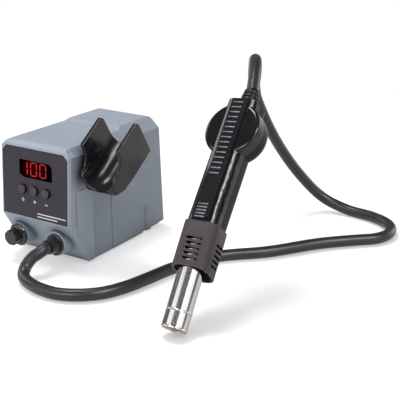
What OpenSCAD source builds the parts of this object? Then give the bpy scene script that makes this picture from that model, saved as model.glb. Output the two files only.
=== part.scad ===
// Hot-air rework station: a bench box with a control panel, an open cradle on its right side,
// and a hot-air gun that stands on its nozzle beside the box, joined to it by a flexible hose.
// Millimetres, +Z up, the front faces -Y. The origin lies under the middle of the box, on the
// surface that its feet stand on.

/* [Station body] */
// Overall width of the box
body_w = 88; // [82:1:110]
// Depth from the belly edge at the front to the foot of the rear face
body_d = 156; // [146:1:180]
// Height of the top face behind the panel
top_z = 120.5; // [116:0.5:135]
// Height of the raised rear part above the front part of the top
hump_h = 2.5; // [1:0.5:5]
// Distance of the raised rear part behind the middle of the box
hump_y = 14; // [0:1:30]
// Height of the belly edge, where the panel meets the receding lower face
belly_z = 46; // [42:1:52]
// How far the lower edge of the front lies behind the belly edge
toe_setback = 26; // [20:1:32]
// How far the panel leans back over its height
panel_setback = 5; // [2:0.5:9]
// How far the rear face leans forward over its height
rear_setback = 7; // [3:0.5:12]
// Wall thickness of the mouldings
wall = 2.5; // [2:0.1:3]
// Height of the lower edge of the cover above the bench
base_z = 2.5; // [2:0.5:4]
// Leg of the long chamfer on the top edges, at the front
top_chamfer = 7; // [4:0.5:10]
// How much wider that chamfer grows by the rear
chamfer_growth = 5; // [0:0.5:7]
// Chamfer on the upright front edges
front_chamfer = 2; // [1:0.25:3]

/* [Front bezel] */
// Depth of the front moulding, from its face to the seam with the cover
bezel_d = 8; // [6:0.5:11]
// Thickness of the lip that enters the cover
lip_t = 1.6; // [1.2:0.1:2]
// Length of that lip behind the seam
lip_len = 5; // [3:0.5:8]
// Thickness of the wall behind the control panel
face_t = 3; // [2.5:0.1:4]
// Distance of the knob and the hose port from the sides of the box
port_inset = 20.3; // [18:0.1:23]
// Radius of the round bosses on the lower face
boss_r = 12.25; // [12:0.25:14]

/* [Control panel] */
// Width of the panel plate
panel_w = 82; // [74:1:84]
// Height of the panel plate
panel_h = 69; // [64:0.5:70]
// Thickness of the panel plate
panel_t = 1.2; // [0.8:0.1:1.6]
// Chamfer on the panel's top corners
panel_chamfer = 5; // [3:0.5:8]
// Width of the display window
window_w = 41.2; // [38:0.2:44]
// Height of the display window
window_h = 17.2; // [15:0.2:19]
// Height of the window's middle above the belly edge
window_z = 49.4; // [44:0.2:52]
// Height of one digit
digit_h = 14.2; // [11:0.2:14.6]
// Distance between digits
digit_pitch = 11.8; // [11:0.1:12.6]
// Diameter of a push button
button_d = 9; // [8:0.25:12]
// How far a button stands proud of the panel
button_proud = 5; // [2:0.25:6]
// Distance between buttons
button_pitch = 15; // [14:0.5:18]
// Height of the buttons' middle above the belly edge
button_z = 28.9; // [24:0.1:31]
// Travel of a button
button_travel = 0.8; // [0.5:0.1:1]

/* [Airflow knob] */
// Diameter of the knob's skirt
knob_skirt_d = 22.5; // [19:0.5:24]
// Diameter of the knob's grip
knob_grip_d = 16; // [14:0.5:17]
// Length of the knob
knob_len = 12.5; // [9:0.5:14]
// Number of grip flutes
knob_flutes = 8; // [6:1:10]

/* [Hose] */
// Outer diameter of the hose
hose_d = 12; // [9:0.5:12]
// Diameter of the gland's flange
gland_flange_d = 20; // [19:0.5:23]
// Length of the gland's sleeve in front of its flange
gland_len = 9; // [6:0.5:14]

/* [Cradle] */
// Pitch of the cradle's trough above the bench
cradle_pitch = 35; // [25:1:45]
// Outer width of the cradle
cradle_w = 46; // [44:0.5:50]
// Wall thickness of the cradle
cradle_t = 4.5; // [3.5:0.25:5]
// Length of the cradle's floor
cradle_len = 60; // [52:1:70]
// Depth of the trough from its rims to the middle of the round
rim_h = 21.5; // [16:0.5:23]
// Length of the straight rims
rim_len = 38; // [30:1:44]
// Gap between the box and the cradle, filled by its bracket
bracket_t = 3; // [2:0.25:5]

/* [Gun] */
// Lean of the gun's nozzle from upright
gun_lean = 40; // [30:1:50]
// Heading of that lean, turned from straight back
gun_turn = 7; // [0:1:20]
// Roll of the gun about its own nozzle
gun_roll = 8; // [0:1:30]
// Outer diameter of the nozzle tube
tube_d = 22.7; // [21.5:0.1:23.5]
// How far the nozzle's loose end ring stands out round the tube
ring_proud = 0.4; // [0.3:0.05:0.6]
// Wall thickness of the nozzle tube
tube_t = 0.8; // [0.6:0.1:1]
// Length of the loose end ring of the nozzle
tip_len = 16; // [12:0.5:20]
// Distance from the nozzle's end to the front edge of the collar
tube_show = 53; // [50:1:60]
// Length of the heat collar, along its front
collar_len = 40.5; // [38:0.5:46]
// How much lower the collar's slanted rim lies at the back than at the front
collar_reach = 4; // [2:0.5:8]
// How far the collar is twisted on the nozzle, against the handle
collar_twist = 8; // [0:1:12]
// Width of the heat collar
collar_w = 35.5; // [34:0.5:40]
// Number of cooling slots on each face of the collar
slot_count = 5; // [3:1:5]
// Width of the handle
handle_w = 30; // [29:0.5:33]
// Length of the handle
handle_len = 121.5; // [114:0.5:130]
// Tilt of the handle behind the nozzle's line
handle_tilt = 4; // [0:0.5:6]
// How far the handle's middle lies behind the nozzle's line, at the collar
handle_shift = 3.2; // [2:0.1:4]
// Wall thickness of the handle shells
shell_t = 2; // [1.6:0.1:2.4]
// Diameter of the round fan housing
fan_house_d = 53; // [50:1:60]
// Distance from the fan's middle to the handle's top end
fan_from_top = 30; // [28:1:34]
// Diameter of the fan wheel
impeller_d = 40; // [36:0.5:42]
// Number of blades on the fan wheel
blade_count = 24; // [16:1:30]

/* [Hidden] */

$fn = 48;
// Side of a cutting block that is larger than the whole object
big = 600;
// Gap between mouldings that are fitted together
fit = 0.15;
// Gap round anything that turns or slides
run = 0.3;
// Overlap that joins the solids of one piece
weld = 0.01;

half_w = body_w / 2;
front_y = -body_d / 2;
rear_y = body_d / 2;
rear_top_z = top_z + hump_h;
port_x = half_w - port_inset;
hump_ramp = 4;
notch_len = 24;
notch_h = 2.5;

// Corners of the box in side view, as depth and height, and the radius at each
body_corners = [
  [front_y + toe_setback, base_z],
  [rear_y, base_z],
  [rear_y - rear_setback, rear_top_z],
  [hump_y + hump_ramp, rear_top_z],
  [hump_y, top_z],
  [front_y + panel_setback, top_z],
  [front_y, belly_z]
];
body_radii = [1.5, 1, 5, 2, 2, 4.5, 1.5];
panel_lean = atan(panel_setback / (top_z - belly_z));
slope_lean = atan(toe_setback / (belly_z - base_z));
rear_lean = atan(rear_setback / (rear_top_z - base_z));
chamfer_turn = atan((chamfer_growth - hump_h) / sqrt(2) / body_d);

function unit(v) = v / norm(v);
function flat(lists) = [for (list = lists) each list];

// Where two lines meet, each given by a point and a direction
function meet(p, u, q, w) = p + u * cross(q - p, w) / cross(u, w);

// An outline with every side moved inwards by its own distance
function inset(points, d) = let (n = len(points)) [
  for (i = [0 : n - 1])
    let (
      a = points[(i + n - 1) % n],
      b = points[i],
      c = points[(i + 1) % n],
      u = unit(b - a),
      w = unit(c - b),
      before = b + d[(i + n - 1) % n] * [-u.y, u.x],
      after = b + d[i] * [-w.y, w.x]
    ) meet(before, u, after, w)
];

// The arc that rounds corner b between a and c
function fillet(a, b, c, r, steps = 6) = let (
    u = unit(a - b),
    w = unit(c - b),
    half = acos(u * w) / 2,
    middle = b + unit(u + w) * r / sin(half),
    first = b + u * r / tan(half) - middle,
    last = b + w * r / tan(half) - middle,
    from = atan2(first.y, first.x),
    turn = (atan2(last.y, last.x) - from + 540) % 360 - 180
  ) [for (i = [0 : steps]) middle + r * [cos(from + turn * i / steps), sin(from + turn * i / steps)]];

function rounded(points, radii, steps = 6) = let (n = len(points)) flat([
  for (i = [0 : n - 1]) fillet(points[(i + n - 1) % n], points[i], points[(i + 1) % n], radii[i], steps)
]);

// Points along an ellipse, measured from its own centre
function ellipse_arc(rx, ry, from, to, steps) = [
  for (i = [0 : steps]) let (a = from + (to - from) * i / steps) [rx * cos(a), ry * sin(a)]
];

// Depth of the front faces at a height
function slope_y(z) = front_y + (belly_z - z) * tan(slope_lean);
function panel_y(z) = front_y + (z - belly_z) * tan(panel_lean);

module rounded_rect(w, d, r) {
  square([w - 2 * r, d], center = true);
  square([w, d - 2 * r], center = true);
  for (x = [-1, 1], y = [-1, 1]) translate([x * (w / 2 - r), y * (d / 2 - r)]) circle(r);
}

// A cylinder along Y whose near end is at y
module rod_y(r, y, length, at = [0, 0]) {
  translate([at.x, y + length, at.y]) rotate([90, 0, 0]) cylinder(r = r, h = length);
}

// A cylinder along X whose near end is at x
module rod_x(r, x, length, at = [0, 0]) {
  translate([x, at.x, at.y]) rotate([0, 90, 0]) cylinder(r = r, h = length);
}

// A side-view outline drawn across a width
module across(points, width) {
  translate([-width / 2, 0, 0]) rotate([90, 0, 90]) linear_extrude(width) polygon(points);
}

// Everything beyond a plane through a point, moved inwards by depth
module beyond(at, turn, depth) {
  translate(at) rotate(turn) translate([-big / 2, -big / 2, -depth]) cube(big);
}

// The box as one block, with each side of its outline moved inwards by d and its ends by side
module body_block(d, side) {
  radii = [for (i = [0 : len(d) - 1]) max(body_radii[i] - side, 0.4)];
  difference() {
    across(rounded(inset(body_corners, d), radii), body_w - 2 * side);
    for (m = [0, 1]) mirror([m, 0, 0]) {
      beyond([half_w, front_y, top_z - top_chamfer], [-chamfer_turn, 45, 0], side);
      translate([half_w, front_y, belly_z]) {
        rotate([-panel_lean, 0, 0]) beyond([-front_chamfer, 0, 0], [90, 0, 45], side);
        rotate([slope_lean, 0, 0]) beyond([-front_chamfer, 0, 0], [90, 0, 45], side);
      }
    }
  }
}

// Everything behind a seam that follows the front faces at a distance
module behind_front(distance) {
  low = -20;
  high = top_z + 40;
  across([
    [slope_y(low) + distance, low],
    [big, low],
    [big, high],
    [panel_y(high) + distance, high],
    [front_y + distance, belly_z]
  ], big);
}

// Frames that lie on the panel face and on the rear face, both with their outer side at y = 0
module panel_frame() translate([0, front_y, belly_z]) rotate([-panel_lean, 0, 0]) children();
module rear_frame() translate([0, rear_y, base_z]) rotate([rear_lean, 0, 0]) children();

// Places on the rear face
rear_inset = 1.5;
rear_t = 2;
rear_low = 4;
rear_w = body_w - 2 * wall - 2 * fit;
rear_high = (rear_top_z - base_z) / cos(rear_lean) - wall - 0.6;
rear_cut = top_chamfer + chamfer_growth - wall / 2;
inlet_inset = 26;
rocker_inset = 24;
inlet_x = half_w - inlet_inset;
inlet_z = 32;
inlet_w = 27;
inlet_h = 20;
rocker_x = rocker_inset - half_w;
rocker_w = 19;
rocker_h = 13;

// Screw posts of the cover
post_r = 4;
post_hole_r = 1.3;
post_x = half_w - wall - post_r + 0.5;
post_front_y = front_y + toe_setback + 16;
post_rear_y = rear_y - 30;
post_top_z = 40;
tray_t = 2.5;
tray_top = base_z + tray_t;
post_places = [for (x = [-1, 1], y = [post_front_y, post_rear_y]) [x * post_x, y]];
rear_screw_places = [for (x = [-1, 1], z = [10, 88]) [x * post_x, z]];

// Shallow recesses moulded into the cover's sides
relief_depth = 0.5;
relief_front = front_y + 35;
relief_rear = front_y + 65;
relief_top = 70;
groove_w = 10;
groove_depth = 1.9;
groove_y = rear_y - 40;
groove_top = 33;

module side_recesses() {
  for (m = [0, 1]) mirror([m, 0, 0]) {
    translate([half_w - relief_depth, relief_front, base_z - 1])
      cube([10, relief_rear - relief_front, relief_top]);
    translate([half_w - groove_depth, groove_y, base_z - 1])
      cube([10, groove_w, groove_top - base_z + 1]);
  }
}

module housing_cover() color([0.50, 0.54, 0.58]) {
  difference() {
    union() {
      intersection() {
        difference() {
          body_block([0, 0, 0, 0, 0, 0, 0], 0);
          body_block([-20, -20, wall, wall, wall, -20, -20], wall);
        }
        behind_front(bezel_d);
      }
      for (p = post_places) translate([p.x, p.y, tray_top]) cylinder(r = post_r, h = post_top_z);
      intersection() {
        body_block([0, 0, 0.5, 0.5, 0.5, 0, 0], 1);
        rear_frame() for (p = rear_screw_places) rod_y(post_r, -rear_inset - rear_t - 14, 14, p);
      }
    }
    for (p = post_places) translate([p.x, p.y, tray_top - 1]) cylinder(r = post_hole_r, h = 20);
    rear_frame() for (p = rear_screw_places) rod_y(post_hole_r, -rear_inset - rear_t - 15, 16, p);
    translate([-big / 2, rear_y - notch_len, base_z - 10]) cube([big, big, 10 + notch_h]);
    side_recesses();
    translate([half_w, 0, 0]) cradle_frame_offset() for (p = cradle_screw_places)
      rod_x(cradle_screw_r + run, -wall - 1, wall + 2, p);
  }
}

// The front moulding: a frame round the panel, with the receding lower face and its two bosses
bezel_in = wall + fit + lip_t;
boss_face_y = front_y + 1;
boss_z = belly_z - 20.5;
ports = [-port_x, port_x];
pot_hole_r = 3.6;
gland_hole_r = 7.5;
seat_gap = 0.05;

module front_bezel() color([0.60, 0.64, 0.68]) {
  difference() {
    union() {
      difference() {
        body_block([0, 0, 0, 0, 0, 0, 0], 0);
        body_block([bezel_in, 0, bezel_in, bezel_in, bezel_in, face_t, face_t], bezel_in);
        behind_front(bezel_d - seat_gap);
      }
      intersection() {
        difference() {
          body_block([for (i = [0 : 6]) wall + fit], wall + fit);
          body_block([-20, -20, bezel_in, bezel_in, bezel_in, -20, -20], bezel_in);
        }
        behind_front(bezel_d - 2);
        beyond([0, 0, tray_top + 1], [0, 0, 0], 0);
        difference() {
          translate([-big / 2, -big / 2, -big / 2]) cube(big);
          behind_front(bezel_d + lip_len);
        }
      }
      for (x = ports) rod_y(boss_r, boss_face_y, 24, [x, boss_z]);
      panel_frame() for (p = board_screw_places) rod_y(2.5, face_t - 1, board_y - face_t + 1, p);
    }
    for (x = ports) rod_y(boss_r - wall, boss_face_y + wall, 40, [x, boss_z]);
    rod_y(pot_hole_r, boss_face_y - 1, 10, [-port_x, boss_z]);
    rod_y(gland_hole_r, boss_face_y - 1, 10, [port_x, boss_z]);
    panel_frame() {
      translate([0, panel_sink + panel_t, 0]) rotate([90, 0, 0])
        linear_extrude(10) offset_panel(fit);
      translate([window_x, 0, window_z]) cube([window_w - 1, 20, window_h - 1], center = true);
      for (x = button_places) rod_y(button_d / 2 + 1, -1, 10, [x, button_z]);
    }
  }
}

// The panel plate and its outline, with room all round when gap is above 0
panel_low = 0.8;
panel_sink = 0.2;
window_x = 1.2;
button_places = [-button_pitch, 0, button_pitch];

module offset_panel(gap) {
  w = panel_w / 2 + gap;
  low = panel_low - gap;
  high = panel_low + panel_h + gap;
  cut = panel_chamfer + gap / 2;
  polygon([[-w, low], [w, low], [w, high - cut], [w - cut, high], [cut - w, high], [-w, high - cut]]);
}

module front_panel() color([0.17, 0.16, 0.18]) panel_frame() difference() {
  translate([0, panel_sink + panel_t - seat_gap, 0]) rotate([90, 0, 0])
    linear_extrude(panel_t - seat_gap) offset_panel(0);
  translate([0, 10, 0]) rotate([90, 0, 0]) linear_extrude(20) window_outline(fit);
  for (x = button_places) rod_y(button_d / 2 + run, -1, 10, [x, button_z]);
}

// The window's outline, with its lower left corner cut off and its upper right one rounded
window_cut = [6, 3];
window_r = 5.5;
module window_outline(gap) {
  w = window_w / 2 + gap;
  h = window_h / 2 + gap;
  translate([window_x, window_z]) polygon(concat(
    [[-w, window_cut.y - h], [window_cut.x - w, -h], [w, -h]],
    [for (q = ellipse_arc(window_r, window_r, 0, 90, 6)) q + [w - window_r, h - window_r]],
    [[-w, h]]
  ));
}

module display_window() color([0.10, 0.02, 0.03]) panel_frame()
  translate([0, panel_sink + panel_t - seat_gap, 0]) rotate([90, 0, 0])
    linear_extrude(panel_t - seat_gap) window_outline(0);

// Three digits of seven slanted bars each, lit to show a round number
digit_w = 8.6;
bar_w = 1.3;
digits_x = -2.8;
digits_y = panel_sink + panel_t + 0.1;
digit_t = 0.8;
module_w = 3 * digit_pitch - 4;
module_h = window_h - 1.6;
lit_digits = [[0, 1, 1, 0, 0, 0, 0], [1, 1, 1, 1, 1, 1, 0], [1, 1, 1, 1, 1, 1, 0]];

// One bar of a digit, lying along X or standing up, with pointed ends
module bar(length) {
  polygon([
    [-length / 2, 0], [bar_w / 2 - length / 2, bar_w / 2], [length / 2 - bar_w / 2, bar_w / 2],
    [length / 2, 0], [length / 2 - bar_w / 2, -bar_w / 2], [bar_w / 2 - length / 2, -bar_w / 2]
  ]);
}

module digit(lit) {
  w = digit_w - bar_w;
  h = digit_h / 2 - bar_w / 2;
  long = h - 0.4;
  wide = w - 0.4;
  if (lit[0]) translate([0, h]) bar(wide);
  if (lit[1]) translate([w / 2, h / 2]) rotate(90) bar(long);
  if (lit[2]) translate([w / 2, -h / 2]) rotate(90) bar(long);
  if (lit[3]) translate([0, -h]) bar(wide);
  if (lit[4]) translate([-w / 2, -h / 2]) rotate(90) bar(long);
  if (lit[5]) translate([-w / 2, h / 2]) rotate(90) bar(long);
  if (lit[6]) bar(wide);
}

module display_digits() color([0.95, 0.05, 0.05]) panel_frame()
  for (i = [0 : 2]) translate([digits_x + (i - 1) * digit_pitch, digits_y + digit_t, window_z])
    rotate([90, 0, 0]) linear_extrude(digit_t) digit(lit_digits[i]);

// The circuit board behind the panel, with what it carries
board_y = face_t + 8;
board_t = 1.6;
board_w = panel_w - 12;
board_low = 6;
board_high = window_z + window_h / 2 + 5;
board_screw_places = [for (x = [-1, 1], z = [board_low + 4, board_high - 4]) [x * (board_w / 2 - 4), z]];

module display_module() color([0.12, 0.12, 0.13]) panel_frame()
  translate([digits_x - module_w / 2, digits_y + digit_t + seat_gap, window_z - module_h / 2])
    cube([module_w, board_y - seat_gap - digits_y - digit_t, module_h]);

module front_board() color([0.12, 0.35, 0.20]) panel_frame()
  translate([-board_w / 2, board_y, board_low]) cube([board_w, board_t, board_high - board_low]);

switch_w = 6;
switch_h = 3.5;
plunger_r = 1.7;
flange_t = 1.2;
flange_y = face_t + run;
plunger_y = flange_y + flange_t + button_travel + 0.4;

module tact_switches() color([0.25, 0.25, 0.27]) panel_frame() for (x = button_places) {
  translate([x - switch_w / 2, board_y - switch_h, button_z - switch_w / 2])
    cube([switch_w, switch_h, switch_w]);
  rod_y(plunger_r, plunger_y, board_y - switch_h - plunger_y + weld, [x, button_z]);
}

// A push button: a round cap with a softened edge and a flange that keeps it behind the wall
module button(x) color([0.22, 0.21, 0.23]) panel_frame() {
  edge = 0.8;
  translate([x, 0, button_z]) rotate([-90, 0, 0]) rotate_extrude() polygon([
    [0, -button_proud],
    [button_d / 2 - edge, -button_proud],
    [button_d / 2 - edge / 4, -button_proud + edge / 4],
    [button_d / 2, -button_proud + edge],
    [button_d / 2, flange_y],
    [button_d / 2 + 1.6, flange_y],
    [button_d / 2 + 1.6, flange_y + flange_t],
    [0, flange_y + flange_t]
  ]);
}

module button_power() button(button_places[0]);
module button_up() button(button_places[1]);
module button_down() button(button_places[2]);

// The airflow knob: a domed skirt and a fluted grip on the shaft of its control
knob_y = boss_face_y - run;
shaft_r = 3;
knob_skirt_t = 4;
shaft_len = 6;
flute_r = 2;
flute_out = 0.9;

module flow_knob() color([0.08, 0.08, 0.09]) translate([-port_x, knob_y, boss_z]) difference() {
  union() {
    rotate([90, 0, 0]) rotate_extrude() polygon(concat(
      [[0, 0], [knob_skirt_d / 2, 0], [knob_skirt_d / 2, 1]],
      [for (p = ellipse_arc(knob_skirt_d / 2 - 0.3, knob_skirt_t - 1.2, 0, 54, 6)) p + [0, 1.2]],
      [[0, knob_skirt_t]]
    ));
    rotate([90, 0, 0]) cylinder(r = knob_grip_d / 2, h = knob_len - 0.8);
    rotate([90, 0, 0]) translate([0, 0, knob_len - 0.8 - weld])
      cylinder(r1 = knob_grip_d / 2, r2 = knob_grip_d / 2 - 0.8, h = 0.8 + weld);
  }
  for (i = [0 : knob_flutes - 1]) rotate([0, i * 360 / knob_flutes, 0])
    rod_y(flute_r, -knob_len - 1, knob_len - knob_skirt_t + 0.6, [knob_grip_d / 2 + flute_out, 0]);
  rod_y(shaft_r + 0.05, -shaft_len, shaft_len + 1);
  rod_y(5, -0.8, 2);
}

module flow_pot() color([0.55, 0.55, 0.57]) translate([-port_x, 0, boss_z]) {
  inside = boss_face_y + wall + seat_gap;
  rod_y(8, inside, 9);
  rod_y(pot_hole_r - fit, boss_face_y - 0.2, inside - boss_face_y + 1);
  rod_y(shaft_r, knob_y - shaft_len + 0.5, shaft_len + 4);
}

// The gland that holds the hose in its boss, with a small key at its foot
gland_y = boss_face_y - seat_gap;
gland_t = 2.4;
hose_start_y = gland_y - gland_t - gland_len;

module hose_gland() color([0.07, 0.07, 0.08]) translate([port_x, gland_y, boss_z]) difference() {
  union() {
    rotate([90, 0, 0]) cylinder(r = gland_flange_d / 2, h = gland_t - 0.6);
    rotate([90, 0, 0]) translate([0, 0, gland_t - 0.6 - weld])
      cylinder(r1 = gland_flange_d / 2, r2 = gland_flange_d / 2 - 0.6, h = 0.6 + weld);
    rotate([90, 0, 0]) cylinder(r1 = hose_d / 2 + 2.6, r2 = hose_d / 2 + 1.2, h = gland_t + gland_len);
    translate([-2, -gland_t, -gland_flange_d / 2 - 1.4]) cube([4, gland_t, 3]);
    rod_y(gland_hole_r - fit, -weld, wall + seat_gap + 6);
  }
  rod_y(hose_d / 2 - 2.5, -30, 60);
}

nut_r = 9.2;
module gland_nut() color([0.10, 0.10, 0.11]) translate([port_x, boss_face_y + wall + seat_gap, boss_z])
  difference() {
    rotate([-90, 0, 0]) cylinder(r = nut_r, h = 4, $fn = 6);
    rod_y(gland_hole_r, -1, 6);
  }

// The tray that closes the box from below
tray_gap = 0.2;
tray_w = body_w - 2 * wall - 2 * tray_gap;
tray_front = front_y + toe_setback + bezel_d + 3;
tray_rear = rear_y - rear_inset - rear_t - 2;
foot_r = 6.5;
foot_places = [
  for (x = [-1, 1], y = [tray_front + 16, tray_rear - 28]) [x * (half_w - 16), y]
];

tray_slot = [28, 2.5];
tray_slot_pitch = 6;

module base_tray() color([0.16, 0.17, 0.18]) difference() {
  union() {
    translate([-tray_w / 2, tray_front, base_z]) cube([tray_w, tray_rear - tray_front, tray_t - seat_gap]);
    for (x = [-1, 1]) translate([x * (tray_w / 2 - 6) - 1, post_front_y + 8, base_z])
      cube([2, post_rear_y - post_front_y - 16, tray_t + 5]);
    for (p = standoff_places) translate([p.x, p.y, base_z]) cylinder(r = 3, h = board_z - base_z);
  }
  for (p = post_places) {
    translate([p.x, p.y, base_z - 1]) cylinder(r = screw_r + 0.3, h = 10);
    translate([p.x, p.y, base_z - weld]) cylinder(r = head_r + 0.3, h = 1.2);
  }
  for (p = foot_places) translate([p.x, p.y, base_z - 1]) cylinder(r = foot_r + fit, h = 1.6);
  for (y = [tray_front + 34 : tray_slot_pitch : tray_rear - 46]) translate([-tray_slot.x / 2, y, base_z - 1])
    cube([tray_slot.x, tray_slot.y, 10]);
}

module feet() color([0.10, 0.10, 0.10]) for (p = foot_places) translate([p.x, p.y, 0]) {
  cylinder(r1 = foot_r - 1, r2 = foot_r, h = 1);
  translate([0, 0, 1 - weld]) cylinder(r = foot_r, h = base_z - 0.4 + weld - seat_gap);
}

screw_r = 1.5;
head_r = 2.8;

// A pan-head screw with a cross recess, its head at z = 0 and its shank along +Z
module screw(length) {
  difference() {
    translate([0, 0, -1.2]) cylinder(r1 = head_r - 0.6, r2 = head_r, h = 1.2);
    for (a = [0, 90]) rotate(a) translate([-1.6, -0.35, -1.3]) cube([3.2, 0.7, 0.9]);
  }
  cylinder(r = post_hole_r - 0.05, h = length);
}

module base_screws() color([0.72, 0.72, 0.74])
  for (p = post_places) translate([p.x, p.y, base_z + 1.1]) screw(14);

// The rear panel with its inlet, switch and air slots
air_slot = [44, 2.6];
air_slot_low = 62;
air_slot_pitch = 6;
air_slot_count = 7;

module rear_panel() color([0.20, 0.21, 0.22]) rear_frame() difference() {
  translate([0, -rear_inset, 0]) rotate([90, 0, 0]) linear_extrude(rear_t) polygon([
    [-rear_w / 2, rear_low], [rear_w / 2, rear_low], [rear_w / 2, rear_high - rear_cut],
    [rear_w / 2 - rear_cut, rear_high], [rear_cut - rear_w / 2, rear_high],
    [-rear_w / 2, rear_high - rear_cut]
  ]);
  translate([inlet_x, 0, inlet_z]) cube([inlet_w + 2 * fit, 20, inlet_h + 2 * fit], center = true);
  translate([rocker_x, 0, inlet_z]) cube([rocker_w + 2 * fit, 20, rocker_h + 2 * fit], center = true);
  for (p = rear_screw_places) rod_y(screw_r + 0.3, -10, 20, p);
  for (i = [0 : air_slot_count - 1]) translate([0, 0, air_slot_low + i * air_slot_pitch]) rotate([90, 0, 0])
    translate([0, 0, -10]) linear_extrude(20) rounded_rect(air_slot.x, air_slot.y, 1.2);
}

module rear_screws() color([0.70, 0.70, 0.72]) rear_frame()
  for (p = rear_screw_places) translate([p.x, -rear_inset + seat_gap, p.y]) rotate([90, 0, 0]) screw(12);

// A three-pin appliance inlet with an open socket
socket_w = 24;
socket_h = 16;
socket_depth = 14;
pin_pitch = 7;
inlet_depth = 18;

module mains_inlet() color([0.08, 0.08, 0.08]) rear_frame() translate([inlet_x, -rear_inset, inlet_z]) {
  difference() {
    union() {
      rotate([90, 0, 0]) translate([0, 0, -2.5]) linear_extrude(2.5 - seat_gap)
        rounded_rect(inlet_w + 4, inlet_h + 4, 2.5);
      translate([-inlet_w / 2, -rear_t - inlet_depth, -inlet_h / 2])
        cube([inlet_w, rear_t + inlet_depth + 0.5, inlet_h]);
    }
    translate([0, 3, 0]) rotate([90, 0, 0]) linear_extrude(3 + socket_depth) polygon([
      [-socket_w / 2, -socket_h / 2], [socket_w / 2, -socket_h / 2], [socket_w / 2, 3],
      [socket_w / 2 - 5, socket_h / 2], [5 - socket_w / 2, socket_h / 2], [-socket_w / 2, 3]
    ]);
  }
  for (x = [-1, 0, 1]) translate([x * pin_pitch - 1, -socket_depth - 1, x == 0 ? 0.5 : -3.5])
    cube([2, 8, 4]);
}

// The mains switch: a snap-in frame and a rocker on a short pivot
rocker_tilt = 9;
rocker_pivot_y = -1;
rocker_wall = 1.2;
rocker_bore_r = 1;
rocker_stub_len = 2.3;

module rocker_frame() color([0.09, 0.09, 0.09]) rear_frame()
  translate([rocker_x, -rear_inset, inlet_z]) {
    difference() {
      union() {
        translate([-rocker_w / 2 - 1.5, seat_gap, -rocker_h / 2 - 1.5])
          cube([rocker_w + 3, 1.5, rocker_h + 3]);
        translate([-rocker_w / 2, -rear_t - 11, -rocker_h / 2]) cube([rocker_w, rear_t + 12, rocker_h]);
      }
      translate([-rocker_w / 2 + rocker_wall, -8, -rocker_h / 2 + rocker_wall])
        cube([rocker_w - 2 * rocker_wall, 30, rocker_h - 2 * rocker_wall]);
    }
    for (m = [0, 1]) mirror([0, 0, m])
      translate([0, rocker_pivot_y, rocker_h / 2 - rocker_wall - rocker_stub_len])
        cylinder(r = rocker_bore_r - 0.05, h = rocker_stub_len + weld);
  }

module power_rocker() color([0.12, 0.12, 0.13]) rear_frame()
  translate([rocker_x, -rear_inset + rocker_pivot_y, inlet_z]) rotate([0, 0, rocker_tilt])
    difference() {
      translate([0, 0, rocker_wall + run - rocker_h / 2])
        linear_extrude(rocker_h - 2 * rocker_wall - 2 * run) polygon([
        [-rocker_w / 2 + 2.2, 4.6], [-rocker_w / 2 + 2.6, -1.2], [-1.6, -3.6], [1.6, -3.6],
        [rocker_w / 2 - 2.6, -1.2], [rocker_w / 2 - 2.2, 4.6], [rocker_w / 4, 3.9], [0, 3.6],
        [-rocker_w / 4, 3.9]
      ]);
      translate([0, 0, -20]) cylinder(r = rocker_bore_r, h = 40);
    }

// The main board and what stands on it, placed by shares of its length
board_z = 11;
main_gap = 12;
main_w = body_w - 2 * main_gap;
main_front = tray_front + 12;
main_len = tray_rear - 5.5 - main_front;
parts_z = board_z + board_t + 2 * seat_gap;
standoff_places = [
  for (x = [-1, 1], y = [main_front + 5, main_front + main_len - 5]) [x * (main_w / 2 - 5), y]
];

module main_board() color([0.12, 0.35, 0.20])
  translate([-main_w / 2, main_front, board_z + seat_gap]) cube([main_w, main_len, board_t]);

capacitor = [5, 18];
capacitor_pitch = 13;
relay = [18, 14, 14];
terminal = [24, 10, 10];

module board_parts() color([0.15, 0.20, 0.32]) translate([0, main_front, parts_z]) {
  for (i = [0 : 2]) translate([-22 + i * capacitor_pitch, main_len / 8, 0])
    cylinder(r = capacitor.x, h = capacitor.y);
  translate([12, 4, 0]) cube(relay);
  translate([-28, main_len - terminal.y - 4, 0]) cube(terminal);
}

sink = [20, 12, 26];
fin_pitch = 4.5;

module heat_sink() color([0.66, 0.67, 0.69]) translate([8, main_front + main_len / 4, parts_z]) {
  cube([sink.x, 3, sink.z]);
  for (i = [0 : 4]) translate([i * fin_pitch, 0, 0]) cube([2, sink.y, sink.z]);
}

iron = [44, 28, 36];
bobbin = [26, 34, 20];

module transformer() color([0.35, 0.34, 0.36]) translate([-2, main_front + main_len * 5 / 8, parts_z]) {
  difference() {
    translate([-iron.x / 2, -iron.y / 2, 0]) cube(iron);
    translate([-bobbin.x / 2, -20, 8]) cube([bobbin.x, 40, bobbin.z]);
  }
  translate([0.2 - bobbin.x / 2, -bobbin.y / 2, 8 + fit])
    cube([bobbin.x - 0.4, bobbin.y, bobbin.z - 2 * fit]);
}

// The cradle lies along a pitched line beside the box; its frame has Y along the trough
cradle_y = front_y + 10.8;
cradle_z = top_z - 24.6;
cradle_x = half_w + bracket_t + cradle_w / 2;
cradle_r = cradle_w / 2 - cradle_t;
cradle_low = cradle_r + 3;
rim_start = cradle_len - rim_len;
cradle_screw_r = 1.5;
cradle_screw_places = [[10, -9], [26, -9]];
magnet_y = 22;
magnet_r = 4;
magnet_t = 1.5;

module cradle_frame() translate([cradle_x, cradle_y, cradle_z]) rotate([cradle_pitch, 0, 0]) children();
module cradle_frame_offset() translate([0, cradle_y, cradle_z]) rotate([cradle_pitch, 0, 0]) children();

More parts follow.
